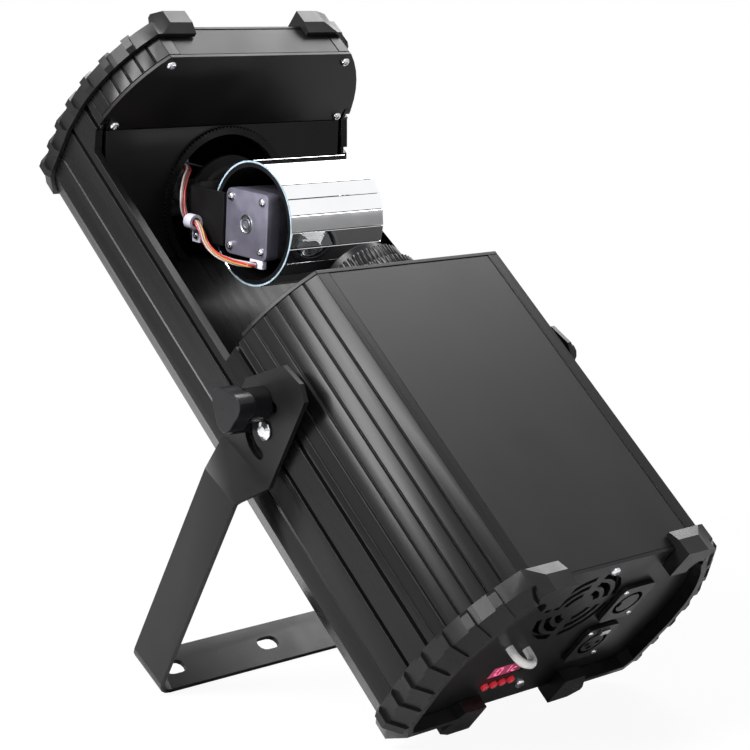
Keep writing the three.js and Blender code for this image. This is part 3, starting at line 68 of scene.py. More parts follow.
lens_axis = Vector(JOINTS["lens_slide"]["axis"])
plate_normal = Vector(JOINTS["pan_turn"]["axis"])
body_lean = math.atan2(lens_axis.z, lens_axis.y)
plate_lean = math.atan2(-plate_normal.y, plate_normal.z)
pivot = Vector(JOINTS["bracket_tilt"]["pos_m"])
body_turn = Matrix.Rotation(body_lean, 3, "X")

ON_BODY = frame_at(pivot - body_turn @ PIVOT_ON_BODY, body_lean)
ON_PLATE = frame_at(Vector(JOINTS["pan_turn"]["pos_m"]), plate_lean)
ON_BRACKET = frame_at(pivot, body_lean - BRACKET_BACK_LEAN)
ALONG_X = Matrix.Rotation(math.radians(90), 4, "Y")
ALONG_Y = Matrix.Rotation(math.radians(-90), 4, "X")
lean_angles = [round(math.degrees(lean), 2) for lean in (body_lean, plate_lean)]
print("lean of the body and of the plate:", lean_angles)

# %% [markdown]
# ### The camera
# The photograph was taken from the front left, a little above the light. The camera's place and its
# two directions, where it looks and what is up, are given in the body's frame, because the body's
# straight edges told where the camera stood. A long lens keeps the perspective as flat as it was.

# %% Camera at the photograph's angle
CAMERA_ON_BODY = Vector((-773.8, -303.6, 714.6)) * MM
LOOKS = Vector((0.6549, 0.4374, -0.6162)).normalized()
UP = Vector((0.1168, 0.7471, 0.6544))

camera_data = bpy.data.cameras.new("camera")
camera_data.lens = 97.96
camera_data.sensor_width = 36.0
camera_data.clip_start = 0.05
camera = bpy.data.objects.new("camera", camera_data)
bpy.context.scene.collection.objects.link(camera)
right = LOOKS.cross(UP).normalized()
up = right.cross(LOOKS)
turn = Matrix((right, up, -LOOKS)).transposed().to_4x4()
camera.matrix_world = ON_BODY @ Matrix.Translation(CAMERA_ON_BODY) @ turn
bpy.context.scene.camera = camera

# %% [markdown]
# ### Finishes
# Every finish is one recipe with other numbers. A fine noise lifts and sinks the surface a few
# hundredths of a millimetre, which is the grain of paint or moulded plastic. A broad noise shifts
# colour and roughness a little, as hands, dust and casting do. The pattern may be stretched along
# the body, which turns grain into the drawing lines of an extrusion.

# %% One recipe for all finishes
def new_finish(name, colour, roughness, metallic=0.0, specular=0.5, coat=0.0):
    material = bpy.data.materials.new(name)
    material.use_nodes = True
    shader = material.node_tree.nodes["Principled BSDF"]
    shader.inputs["Base Color"].default_value = (*colour, 1.0)
    shader.inputs["Roughness"].default_value = roughness
    shader.inputs["Metallic"].default_value = metallic
    shader.inputs["Specular IOR Level"].default_value = specular
    shader.inputs["Coat Weight"].default_value = coat
    material.diffuse_color = (*colour, 1.0)
    return material


def pattern_space(material, lean, stretch):
    nodes = material.node_tree.nodes
    where = nodes.new("ShaderNodeTexCoord")
    mapping = nodes.new("ShaderNodeMapping")
    mapping.vector_type = "TEXTURE"
    mapping.inputs["Rotation"].default_value = (lean, 0.0, 0.0)
    mapping.inputs["Scale"].default_value = stretch
    material.node_tree.links.new(where.outputs["Object"], mapping.inputs["Vector"])
    return mapping.outputs["Vector"]


def noise(material, vector, scale, detail=3.0):
    node = material.node_tree.nodes.new("ShaderNodeTexNoise")
    node.inputs["Scale"].default_value = scale
    node.inputs["Detail"].default_value = detail
    material.node_tree.links.new(vector, node.inputs["Vector"])
    return node.outputs["Fac"]


def ranged(material, value, low, high, start=0.3, end=0.7):
    node = material.node_tree.nodes.new("ShaderNodeMapRange")
    node.inputs["From Min"].default_value = start
    node.inputs["From Max"].default_value = end
    node.inputs["To Min"].default_value = low
    node.inputs["To Max"].default_value = high
    material.node_tree.links.new(value, node.inputs["Value"])
    return node.outputs["Result"]


def add_grain(material, grain, relief, lean=0.0, stretch=(1.0, 1.0, 1.0)):
    links = material.node_tree.links
    shader = material.node_tree.nodes["Principled BSDF"]
    bump = material.node_tree.nodes.new("ShaderNodeBump")
    bump.inputs["Distance"].default_value = relief * MM
    links.new(noise(material, pattern_space(material, lean, stretch), grain), bump.inputs["Height"])
    links.new(bump.outputs["Normal"], shader.inputs["Normal"])


def add_blotches(material, scale, rough_swing, colour_swing, lean=0.0, stretch=(1.0, 1.0, 1.0)):
    tree = material.node_tree
    shader = tree.nodes["Principled BSDF"]
    value = noise(material, pattern_space(material, lean, stretch), scale, 5.0)
    rough = shader.inputs["Roughness"].default_value
    swing = ranged(material, value, max(rough - rough_swing, 0.02), rough + rough_swing)
    tree.links.new(swing, shader.inputs["Roughness"])
    colour = shader.inputs["Base Color"].default_value[:3]
    mix = tree.nodes.new("ShaderNodeMix")
    mix.data_type = "RGBA"
    mix.inputs["A"].default_value = (*[c * (1 - colour_swing) for c in colour], 1.0)
    mix.inputs["B"].default_value = (*[min(c * (1 + colour_swing), 1.0) for c in colour], 1.0)
    tree.links.new(ranged(material, value, 0.0, 1.0), mix.inputs["Factor"])
    tree.links.new(mix.outputs["Result"], shader.inputs["Base Color"])


# %% [markdown]
# Anodised extrusion: black, a little glossy, with faint lines along the body where the die drew it.
# The sheet parts are powder coated, which is rougher and has a fine orange peel.

# %% Anodised extrusion and powder coated sheet
DRAWN = (1.0, 40.0, 1.0)

anodised = new_finish("anodised_extrusion", (0.005, 0.005, 0.0053), 0.28, specular=0.15)
add_grain(anodised, 2600.0, 0.012, body_lean, DRAWN)
add_blotches(anodised, 160.0, 0.05, 0.16, body_lean, DRAWN)

panel_coat = new_finish("panel_coat", (0.008, 0.008, 0.0085), 0.4, specular=0.18)
add_grain(panel_coat, 1500.0, 0.02)
add_blotches(panel_coat, 30.0, 0.04, 0.1)

sheet_coat = new_finish("sheet_coat", (0.006, 0.006, 0.0063), 0.36, specular=0.17)
add_grain(sheet_coat, 1700.0, 0.025)
add_blotches(sheet_coat, 36.0, 0.05, 0.12)

strip_coat = new_finish("bracket_coat", (0.006, 0.006, 0.0063), 0.38, specular=0.2)
add_grain(strip_coat, 1300.0, 0.03)
add_blotches(strip_coat, 50.0, 0.05, 0.12)

# %% [markdown]
# Moulded plastic has a spark-eroded grain, and its colour is the same all over. The bumpers are
# coarser than the lens rings and the knobs, and rubber is duller than both.

# %% Plastics and rubber
bumper_plastic = new_finish("bumper_plastic", (0.006, 0.006, 0.0065), 0.32, specular=0.22)
add_grain(bumper_plastic, 1100.0, 0.03)
add_blotches(bumper_plastic, 60.0, 0.06, 0.15)

black_plastic = new_finish("black_plastic", (0.007, 0.007, 0.008), 0.32, specular=0.2)
add_grain(black_plastic, 1900.0, 0.015)
add_blotches(black_plastic, 90.0, 0.05, 0.15)

disc_plastic = new_finish("disc_plastic", (0.005, 0.005, 0.006), 0.45, specular=0.13)
add_grain(disc_plastic, 1600.0, 0.02)
add_blotches(disc_plastic, 70.0, 0.05, 0.15)

white_plastic = new_finish("white_plastic", (0.8, 0.79, 0.78), 0.28, specular=0.5)
add_grain(white_plastic, 900.0, 0.01)
add_blotches(white_plastic, 120.0, 0.06, 0.04)

clip_plastic = new_finish("clip_plastic", (0.62, 0.6, 0.72), 0.35, specular=0.5)
add_grain(clip_plastic, 1400.0, 0.01)
add_blotches(clip_plastic, 150.0, 0.05, 0.08)

belt_rubber = new_finish("belt_rubber", (0.02, 0.02, 0.02), 0.65)
add_grain(belt_rubber, 1800.0, 0.03)
add_blotches(belt_rubber, 100.0, 0.08, 0.2)

# %% [markdown]
# Metals: bright screws, galvanised sheet inside, and the cast end caps of a stepping motor, which
# are pale with a violet cast in the photograph.

# %% Metals
bright_steel = new_finish("bright_steel", (0.62, 0.63, 0.65), 0.2, metallic=1.0)
add_grain(bright_steel, 2400.0, 0.006)
add_blotches(bright_steel, 300.0, 0.06, 0.1)

galvanised = new_finish("galvanised_sheet", (0.48, 0.5, 0.53), 0.36, metallic=1.0)
add_grain(galvanised, 500.0, 0.01)
add_blotches(galvanised, 140.0, 0.1, 0.2)

plain_aluminium = new_finish("plain_aluminium", (0.62, 0.63, 0.64), 0.34, metallic=1.0)
add_grain(plain_aluminium, 2200.0, 0.01)
add_blotches(plain_aluminium, 80.0, 0.07, 0.1)

cast_cap = new_finish("motor_cap", (0.16, 0.155, 0.2), 0.36, metallic=0.4)
add_grain(cast_cap, 1500.0, 0.012)
add_blotches(cast_cap, 120.0, 0.08, 0.12)

stack_steel = new_finish("motor_stack", (0.1, 0.1, 0.12), 0.4, metallic=0.8)
add_grain(stack_steel, 300.0, 0.05, 0.0, (0.06, 1.0, 1.0))
add_blotches(stack_steel, 90.0, 0.08, 0.2)

# %% [markdown]
# Mirrors are silvered glass strips: an almost perfect reflector with a breath of haze. Their cut
# edges show the blue-green of the glass, made pale as a painted highlight of the light they gather. The lenses let
# light through.

# %% Mirrors and glass
mirror_face = new_finish("mirror_face", (0.93, 0.94, 0.95), 0.03, metallic=1.0)
add_blotches(mirror_face, 60.0, 0.01, 0.02)

# Glass-edge colour made pale: a painted highlight for light gathered in the edge of the glass.
glass_edge_highlight = new_finish("glass_edge_highlight", (0.36, 0.47, 0.55), 0.22, specular=0.6, coat=0.4)
add_blotches(glass_edge_highlight, 200.0, 0.08, 0.3)

lens_glass = new_finish("lens_glass", (0.86, 0.92, 0.96), 0.03, specular=0.5)
lens_shader = lens_glass.node_tree.nodes["Principled BSDF"]
lens_shader.inputs["Transmission Weight"].default_value = 1.0
lens_shader.inputs["IOR"].default_value = 1.5
add_blotches(lens_glass, 40.0, 0.01, 0.03)

# %% [markdown]
# Red plastic glows where the digits and buttons are lit from behind, so it gets a little light of
# its own. The window's glow fades to the right, away from the lit digits. The loom's wires take one
# finish in several colours.

# %% Lit plastics, wires and circuit board
def lit_plastic(name, colour, glow, strength):
    material = new_finish(name, colour, 0.24, specular=0.5, coat=0.3)
    shader = material.node_tree.nodes["Principled BSDF"]
    shader.inputs["Emission Color"].default_value = (*glow, 1.0)
    shader.inputs["Emission Strength"].default_value = strength
    add_blotches(material, 220.0, 0.05, 0.12)
    return material


window_red = lit_plastic("window_red", (0.16, 0.012, 0.03), (0.62, 0.05, 0.16), 0.3)
shine = window_red.node_tree
where = shine.nodes.new("ShaderNodeTexCoord")
across = shine.nodes.new("ShaderNodeSeparateXYZ")
shine.links.new(where.outputs["Object"], across.inputs["Vector"])
fade = ranged(window_red, across.outputs["X"], 0.62, 0.05, -35.0 * MM, -12.0 * MM)
shine.links.new(fade, shine.nodes["Principled BSDF"].inputs["Emission Strength"])
digit_red = lit_plastic("digit_red", (0.7, 0.1, 0.22), (1.0, 0.2, 0.42), 1.0)
button_red = lit_plastic("button_red", (0.5, 0.02, 0.035), (0.8, 0.03, 0.05), 0.3)

WIRE_COLOURS = {
    "white": (0.42, 0.39, 0.4),
    "red": (0.5, 0.03, 0.04),
    "amber": (0.45, 0.22, 0.05),
    "brown": (0.12, 0.04, 0.025),
}
wire_finishes = {}
for wire_name, wire_colour in WIRE_COLOURS.items():
    wire_finishes[wire_name] = new_finish(f"wire_{wire_name}", wire_colour, 0.32, coat=0.2)
    add_grain(wire_finishes[wire_name], 900.0, 0.01)
    add_blotches(wire_finishes[wire_name], 260.0, 0.08, 0.12)

board_green = new_finish("board_green", (0.02, 0.11, 0.05), 0.35)
add_grain(board_green, 700.0, 0.02)
add_blotches(board_green, 200.0, 0.1, 0.3)

# %% [markdown]
# ### Soft edges on the solids
# A CAD solid has edges of no width, and no real edge is like that: light always catches a small
# round. Each outer solid is therefore copied, its flat triangles are joined into whole faces, and a
# bevel goes round its sharp edges. The copy then stands for the solid. Curved walls are made of
# flat strips, so faces that meet at a small angle are shaded as one.

# %% Copies with rounded edges
NODE_BODY = {node: body for body, nodes in frame["record"]["behaviour"]["bodies"].items() for node in nodes}
MERGE = 2e-6
FLAT = math.radians(0.4)


def show(name, mesh, finish, body, sharp):
    mesh.materials.clear()
    mesh.materials.append(finish)
    mesh.shade_smooth()
    mesh.set_sharp_from_angle(angle=math.radians(sharp))
    piece = bpy.data.objects.new(name, mesh)
    bpy.context.scene.collection.objects.link(piece)
    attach(piece, body)
    print(name, "has", len(mesh.polygons), "faces")
    return piece


def dressed(node, finish, width=0.35, sharp=24.0, segments=2):
    mesh = bpy.data.meshes.new(f"{node}_skin")
    bm = bmesh.new()
    bm.from_mesh(frame["nodes"][node].data)
    bmesh.ops.remove_doubles(bm, verts=bm.verts, dist=MERGE)
    bmesh.ops.dissolve_limit(bm, angle_limit=FLAT, verts=bm.verts, edges=bm.edges)
    bm.to_mesh(mesh)
    bm.free()
    piece = show(f"{node}_skin", mesh, finish, NODE_BODY[node], sharp)
    if width:
        bevel = piece.modifiers.new("edges", "BEVEL")
        bevel.width = width * MM
        bevel.segments = segments
        bevel.limit_method = "ANGLE"
        bevel.angle_limit = math.radians(sharp + 4.0)
        bevel.harden_normals = True
    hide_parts(node)
    return piece


def painted(node, finish):
    solid = frame["nodes"][node]
    solid.data.materials.clear()
    solid.data.materials.append(finish)


# %% [markdown]
# The housings are extrusions with sawn ends, so their edges are nearly sharp. Punched sheets get a
# wider round, and moulded bumpers the widest. One width for all would be shorter to write, but
# then the plastic would look like cut metal.

# %% Housings, plates and bumpers
for node in ("rear_housing", "front_housing", "head_housing"):
    dressed(node, anodised, 0.25)
for node in ("front_panel", "head_panel"):
    dressed(node, panel_coat, 0.3)
for node in ("head_closing_plate", "lower_closing_plate", "bay_plate", "motor_arm"):
    dressed(node, sheet_coat, 0.35)
for node in ("bottom_end_plate", "top_end_plate"):
    dressed(node, sheet_coat, 0.25)
for node in ("bumper_bottom_left", "bumper_bottom_right", "bumper_top_left", "bumper_top_right"):
    dressed(node, bumper_plastic, 0.7, segments=3)
dressed("bracket", strip_coat, 0.5, segments=3)

# %% [markdown]
# Inside the housing hardly anything shows, so those solids keep their own mesh and only get their
# finish.

# %% Inner pieces keep their mesh
INNER = {
    "heat_sink": plain_aluminium,
    "colour_wheel": plain_aluminium,
    "gobo_wheel": plain_aluminium,
    "led_module": board_green,
    "control_board": board_green,
    "condenser_lens": lens_glass,
    "colour_motor": cast_cap,
    "gobo_motor": cast_cap,
    "optics_chassis": galvanised,
    "power_supply": galvanised,
    "pan_mount": galvanised,
    "pan_motor": cast_cap,
    "pan_pinion": galvanised,
    "pan_belt": belt_rubber,
}
for node, finish in INNER.items():
    painted(node, finish)

# %% [markdown]
# ### Tools for new pieces
# New pieces are drawn in millimetres in one of the three frames, and `place` shrinks them to metres
# and sets them down. `turned_shape` spins a profile round the z axis. `toothed_shape` starts from
# one circle whose points step in and out, bridges it to an inner circle and extrudes the ring.

# %% Shapes that are turned or toothed
FULL_TURN = 2.0 * math.pi


def moved(bm, verts, matrix):
    bmesh.ops.transform(bm, matrix=matrix, verts=verts)


def place(name, bm, where, finish, body, stands_for=(), sharp=30.0):
    bmesh.ops.recalc_face_normals(bm, faces=bm.faces)
    moved(bm, bm.verts, where @ Matrix.Scale(MM, 4))
    mesh = bpy.data.meshes.new(name)
    bm.to_mesh(mesh)
    bm.free()
    piece = show(name, mesh, finish, body, sharp)
    if stands_for:
        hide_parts(*stands_for)
    return piece


def turned_shape(bm, profile, steps=64, closed=False):
    verts = [bm.verts.new((radius, 0.0, height)) for radius, height in profile]
    pairs = list(zip(verts, verts[1:]))
    if closed:
        pairs.append((verts[-1], verts[0]))
    edges = [bm.edges.new(pair) for pair in pairs]
    before = set(bm.verts) - set(verts)
    bmesh.ops.spin(
        bm, geom=verts + edges, cent=(0, 0, 0), axis=(0, 0, 1), dvec=(0, 0, 0),
        angle=FULL_TURN, steps=steps, use_merge=True, use_duplicate=False,
    )
    made = [v for v in bm.verts if v not in before]
    bmesh.ops.remove_doubles(bm, verts=made, dist=0.001)
    return [v for v in bm.verts if v not in before]


def toothed_shape(bm, tip, root, inner, teeth, low, high):
    before = set(bm.verts)
    outer = bmesh.ops.create_circle(bm, cap_ends=False, radius=root, segments=4 * teeth)["verts"]
    for index, vert in enumerate(outer):
        vert.co *= (tip / root) if index % 4 in (1, 2) else 1.0
    inside = bmesh.ops.create_circle(bm, cap_ends=False, radius=inner, segments=4 * teeth)["verts"]
    rims = {edge for vert in outer + inside for edge in vert.link_edges}
    faces = bmesh.ops.bridge_loops(bm, edges=list(rims))["faces"]
    grown = bmesh.ops.extrude_face_region(bm, geom=faces)["geom"]
    top = [item for item in grown if isinstance(item, bmesh.types.BMVert)]
    made = [v for v in bm.verts if v not in before]
    bmesh.ops.translate(bm, verts=made, vec=(0, 0, low))
    bmesh.ops.translate(bm, verts=top, vec=(0, 0, high - low))
    return made


def soften(bm, verts, width, segments=2, angle=30.0):
    wanted = set(verts)
    edges = [
        edge for edge in bm.edges
        if edge.verts[0] in wanted and edge.verts[1] in wanted
        and edge.calc_face_angle(0.0) > math.radians(angle)
    ]
    bmesh.ops.bevel(
        bm, geom=edges, offset=width, offset_type="OFFSET", segments=segments,
        profile=0.5, affect="EDGES", clamp_overlap=True, material=-1,
    )


def block_shape(bm, low, high, width=0.0, segments=2):
    size = [b - a for a, b in zip(low, high)]
    middle = [(a + b) / 2 for a, b in zip(low, high)]
    verts = bmesh.ops.create_cube(bm, size=1.0)["verts"]
    moved(bm, verts, Matrix.Translation(middle) @ Matrix.Diagonal((*size, 1.0)))
    if width:
        soften(bm, verts, width, segments)
    return verts


# %% [markdown]
# ### Screws
# The sheets are held by small bright screws with a socket. One screw is a spun profile with a deep
# middle, and the points of its inner ring are pushed out to a hexagon. The same head is set down
# wherever the photograph shows one, and at the matching places on the hidden sides.

# %% Screw heads
SCREW_PROFILE = ((3.0, 0.0), (3.0, 0.8), (2.5, 1.6), (1.7, 2.0), (1.45, 2.0), (1.35, 0.7), (0.0, 0.55))
SOCKET_RING = 1.2
SOCKET_REACH = 1.6
SOCKET_FLAT = 1.25
HEXAGON_STEP = math.radians(60)


def screw_head(bm, where, size=1.0):
    verts = turned_shape(bm, SCREW_PROFILE, 24)
    for vert in verts:
        radius = math.hypot(vert.co.x, vert.co.y)
        if SOCKET_RING < radius < SOCKET_REACH:
            corner = math.atan2(vert.co.y, vert.co.x) % HEXAGON_STEP - HEXAGON_STEP / 2
            flat = SOCKET_FLAT / math.cos(corner)
            vert.co.x *= flat / radius
            vert.co.y *= flat / radius
    moved(bm, verts, where @ Matrix.Scale(size, 4))


def screw_set(name, frame_of, spots, turn, body, size=1.0):
    bm = bmesh.new()
    for spot in spots:
        screw_head(bm, Matrix.Translation(spot) @ turn, size)
    place(name, bm, frame_of, bright_steel, body, sharp=35.0)


TO_END = Matrix.Rotation(math.radians(90), 4, "X")
TO_HEAD = ALONG_Y
TO_LEFT = Matrix.Rotation(math.radians(-90), 4, "Y")
NO_TURN = Matrix.Identity(4)
END_FACE = 21.0
HEAD_FACE = 407.0
TOP_FACE = 433.0
LOWER_FACE = 237.5

corners = [(-61.0, 47.0), (61.0, 47.0), (0.0, 51.0), (0.0, -52.5)]
screw_set("end_plate_screws", ON_BODY, [(x, END_FACE, z) for x, z in corners], TO_END, "fixture")
screw_set("top_plate_screws", ON_BODY, [(x, TOP_FACE, z) for x, z in corners], TO_HEAD, "fixture")
plate_corners = [(-66.5, 51.5), (66.5, 51.5), (-86.0, 4.5), (86.0, 4.5)]
screw_set("head_plate_screws", ON_BODY, [(x, HEAD_FACE, z) for x, z in plate_corners], TO_END, "fixture")
lower_corners = [(-66.5, 51.5), (66.5, 51.5), (-84.0, 16.0), (84.0, 16.0)]
screw_set("lower_plate_screws", ON_BODY, [(x, LOWER_FACE, z) for x, z in lower_corners], TO_HEAD, "fixture")
screw_set("bay_plate_screws", ON_PLATE, [(x, 21.3, 0.0) for x in (-86.0, 86.0)], NO_TURN, "fixture", 0.8)
flange_corners = [(25.0, 27.0), (45.0, 3.0), (25.0, -11.0), (45.0, -35.0)]
screw_set("socket_screws", ON_BODY, [(x, 18.5, z) for x, z in flange_corners], TO_END, "fixture", 0.55)

# %% [markdown]
# ### Fan, sockets, window and buttons
# The end plate's own slots are the fan's grille, so the solid is right as it is. Behind it turns
# the fan. The window glows, and three plain digits show in it.

# %% Fan, sockets, eye and buttons
dressed("fan_frame", black_plastic, 0.3)
dressed("fan_rotor", black_plastic, 0.0, sharp=35.0)
dressed("power_inlet", black_plastic, 0.3)
dressed("signal_socket", black_plastic, 0.25)
dressed("socket_latch", bright_steel, 0.2)
dressed("safety_eye", white_plastic, 0.0, sharp=50.0)
dressed("display_window", window_red, 0.2)
BUTTON_COUNT = 4
for index in range(BUTTON_COUNT):
    dressed(f"menu_button_{index + 1}", button_red, 0.35, sharp=40.0)

# %% [markdown]
# A lit figure is made of up to seven bars. They could be a pattern on the window, but bars of their
# own stay crisp from close by, so each lit bar is a small block set into the window's face.

# %% Digits in the window
SEGMENTS = {
    "0": "abcdef",
    "1": "bc",
    "2": "abged",
}
DIGIT_WIDE = 3.6
DIGIT_TALL = 6.6
BAR = 0.8
DIGIT_PITCH = 6.4
WINDOW_MIDDLE = (-23.5, -31.0)
WINDOW_FACE = 21.3


def bar_boxes(letter):
    half, tall = DIGIT_WIDE / 2, DIGIT_TALL / 2
    flat = {"a": tall, "g": 0.0, "d": -tall}
    if letter in flat:
        return (-half + BAR, flat[letter] - BAR / 2), (half - BAR, flat[letter] + BAR / 2)
    side = half if letter in "bc" else -half
    low, high = (BAR / 2, tall - BAR / 2) if letter in "bf" else (BAR / 2 - tall, -BAR / 2)
    return (side - BAR / 2, low), (side + BAR / 2, high)


digits = bmesh.new()
for index, figure in enumerate("012"):
    shift = WINDOW_MIDDLE[0] + (index - 1) * DIGIT_PITCH
    for letter in SEGMENTS[figure]:
        (x0, z0), (x1, z1) = bar_boxes(letter)
        low = (shift + x0, WINDOW_FACE - 0.12, WINDOW_MIDDLE[1] + z0)
        high = (shift + x1, WINDOW_FACE + 0.2, WINDOW_MIDDLE[1] + z1)
        block_shape(digits, low, high)
place("window_digits", digits, ON_BODY, digit_red, "fixture")

# %% [markdown]
# ### Lens rings
# A hand turns the focus ring, so its rim has many fine teeth. The solid has a few coarse ones, which
# a finer ring now stands for, with the same radius and length. The barrel is spun from its profile
# with enough steps to look round.

# %% Focus ring, barrel and glass
AXIS_HEIGHT = 22.0
ON_LENS = ON_BODY @ Matrix.Translation(Vector((0.0, 0.0, AXIS_HEIGHT)) * MM) @ ALONG_Y
sleeve_base = 237.8
focus_low = sleeve_base + 1.8
focus_high = focus_low + 9.0
mid_low = focus_high + 0.3
cap_low = mid_low + 11.0
lens_top = cap_low + 7.0

ring = bmesh.new()
soften(ring, toothed_shape(ring, 29.5, 28.5, 21.9, 60, focus_low, focus_high), 0.25, 1, 50.0)
place("focus_ring_teeth", ring, ON_LENS, black_plastic, "focus", ["focus_ring"], 40.0)

barrel = bmesh.new()
turned_shape(barrel, (
    (16.0, mid_low - 30.0), (19.0, mid_low - 30.0), (19.0, mid_low + 0.2), (19.6, cap_low - 0.3),
    (20.0, cap_low), (20.0, lens_top - 0.5), (19.5, lens_top), (17.6, lens_top), (17.3, lens_top - 0.3),
    (17.3, lens_top - 6.0), (16.0, lens_top - 6.0),
), 72, closed=True)
soften(barrel, toothed_shape(barrel, 25.5, 24.6, 18.8, 54, mid_low, cap_low), 0.25, 1, 50.0)
place("lens_tube_barrel", barrel, ON_LENS, black_plastic, "lens", ["lens_tube"], 40.0)

sleeve = bmesh.new()
turned_shape(sleeve, (
    (19.3, 199.0), (24.0, 199.0), (24.0, sleeve_base), (26.7, sleeve_base), (27.0, sleeve_base + 0.3),
    (27.0, sleeve_base + 1.2), (26.7, sleeve_base + 1.5), (21.3, sleeve_base + 1.5),
    (21.3, focus_high - 0.3), (19.3, focus_high - 0.3),
), 72, closed=True)
place("lens_sleeve_turned", sleeve, ON_LENS, black_plastic, "fixture", ["lens_sleeve"], 35.0)

glass = bmesh.new()
glass_low = lens_top - 4.0 - 2.0 + 0.3
turned_shape(glass, (
    (0.0, glass_low), (8.5, glass_low + 0.5), (17.0, glass_low + 2.0), (17.0, glass_low + 4.0),
    (8.5, glass_low + 5.5), (0.0, glass_low + 6.0),
), 72)
place("front_lens_glass", glass, ON_LENS, lens_glass, "lens", ["front_lens"], 40.0)

# %% [markdown]
# ### Turning plate
# Round the hole of the bay plate lies a thin ring with fine teeth, cut off where it meets the back
# of the tray, and in the hole turns a dark disc.

# %% Toothed ring and disc
TRAY_FLOOR = -62.7
PLATE_ON_BODY = (ON_BODY.inverted() @ ON_PLATE).translation / MM
floor_side = Vector((0.0, math.sin(plate_lean - body_lean), math.cos(plate_lean - body_lean)))
floor_point = floor_side * (TRAY_FLOOR - PLATE_ON_BODY.z)

teeth = bmesh.new()
toothed_shape(teeth, 48.0, 46.9, 43.0, 110, 0.3, 2.3)
every = list(teeth.verts) + list(teeth.edges) + list(teeth.faces)
bmesh.ops.bisect_plane(teeth, geom=every, plane_co=floor_point, plane_no=floor_side, clear_inner=True)
bmesh.ops.holes_fill(teeth, edges=[edge for edge in teeth.edges if edge.is_boundary], sides=0)
place("bay_ring_teeth", teeth, ON_PLATE, disc_plastic, "fixture", ["bay_ring"], 40.0)
dressed("turntable", disc_plastic, 0.3)

# %% [markdown]
# ### Drum
# The drum carries narrow mirrors side by side. Each mirror is a thin strip of glass with ground
# edges, and the drum's rim is a thin ring in a pale glass-edge colour, a painted highlight for the light that the
# glass edge gathers.

# %% Mirror strips and rim
DRUM_HEIGHT = 70.3
DRUM_LEFT = -34.7
DRUM_RIGHT = 35.5
DRUM_STEPS = 96
MIRRORS = 24
MIRROR_OUT = 37.3
ON_DRUM = ON_PLATE @ Matrix.Translation(Vector((0.0, 0.0, DRUM_HEIGHT)) * MM)
STRIP_SPACING = 0.25
STRIP_SUNK = 0.35
STRIP_BACK = 1.6
STRIP_EDGE = 0.18
strip_half = math.pi * MIRROR_OUT / MIRRORS - STRIP_SPACING
strip_low = (DRUM_LEFT, -strip_half, MIRROR_OUT - STRIP_BACK)
strip_high = (DRUM_RIGHT, strip_half, MIRROR_OUT - STRIP_SUNK)

strips = bmesh.new()
for _ in range(MIRRORS):
    block_shape(strips, strip_low, strip_high, STRIP_EDGE, 1)
strips.verts.ensure_lookup_table()
per_strip = len(strips.verts) // MIRRORS
for index in range(MIRRORS):
    part = strips.verts[index * per_strip:(index + 1) * per_strip]
    moved(strips, part, Matrix.Rotation(FULL_TURN * (index + 0.5) / MIRRORS, 4, "X"))
place("mirror_strips", strips, ON_DRUM, mirror_face, "drum", ["mirror_sleeve"], 20.0)

RIM_IN = 35.9
RIM_OUT = 36.9
rim_low = DRUM_LEFT - 0.2
rim_high = DRUM_LEFT + 0.5
rim = bmesh.new()
rim_section = ((RIM_IN, rim_low), (RIM_OUT, rim_low), (RIM_OUT, rim_high), (RIM_IN, rim_high))
turned_shape(rim, rim_section, DRUM_STEPS, True)
# The rim ring's pale colour is a painted highlight.
place("drum_rim", rim, ON_DRUM @ ALONG_X, glass_edge_highlight, "drum", (), 40.0)

core = bmesh.new()
turned_shape(core, (
    (0.0, -6.9), (2.5, -6.9), (2.5, 8.0), (9.0, 8.0), (9.0, 33.0), (33.2, 33.0), (33.2, DRUM_LEFT),
    (35.6, DRUM_LEFT), (35.6, DRUM_RIGHT), (0.0, DRUM_RIGHT),
), DRUM_STEPS)
on_axle = ON_DRUM @ ALONG_X
place("drum_core_turned", core, on_axle, black_plastic, "drum", ["drum_core"], 35.0)

# %% [markdown]
# ### Motor inside the drum
# A stepping motor is a stack of steel sheets between two cast caps, held by four long screws. Its
# rear cap faces the camera, with the screws in its corners and the bearing in the middle.

# %% Motor caps, stack, screws and plug
MOTOR_HALF = 19.65
MOTOR_REAR = -38.9
MOTOR_FRONT = 1.1
SCREW_OFF = 14.6


def motor_block(bm, start, end, corner, edge):
    verts = bmesh.ops.create_cube(bm, size=1.0)["verts"]
    size = Matrix.Diagonal((end - start, 2 * MOTOR_HALF, 2 * MOTOR_HALF, 1.0))
    moved(bm, verts, Matrix.Translation(((start + end) / 2, 0.0, 0.0)) @ size)
    long_edges = [
        e for e in {e for v in verts for e in v.link_edges}
        if abs(e.verts[0].co.x - e.verts[1].co.x) > 0.5 * (end - start)
    ]
    made = bmesh.ops.bevel(
        bm, geom=long_edges, offset=corner, offset_type="OFFSET", segments=4, profile=0.5,
        affect="EDGES", clamp_overlap=True, material=-1,
    )
    whole = set(verts) | {v for f in made["faces"] for v in f.verts}
    soften(bm, [v for v in bm.verts if v in whole], edge, 2, 60.0)


caps = bmesh.new()
motor_block(caps, MOTOR_REAR, MOTOR_REAR + 9.0, 4.2, 0.8)
motor_block(caps, MOTOR_FRONT - 8.0, MOTOR_FRONT, 4.2, 0.8)
place("drum_motor_caps", caps, ON_DRUM, cast_cap, "pan", ["drum_motor"], 30.0)

stack = bmesh.new()
motor_block(stack, MOTOR_REAR + 8.6, MOTOR_FRONT - 7.6, 5.2, 0.1)
place("drum_motor_stack", stack, ON_DRUM, stack_steel, "pan", (), 30.0)

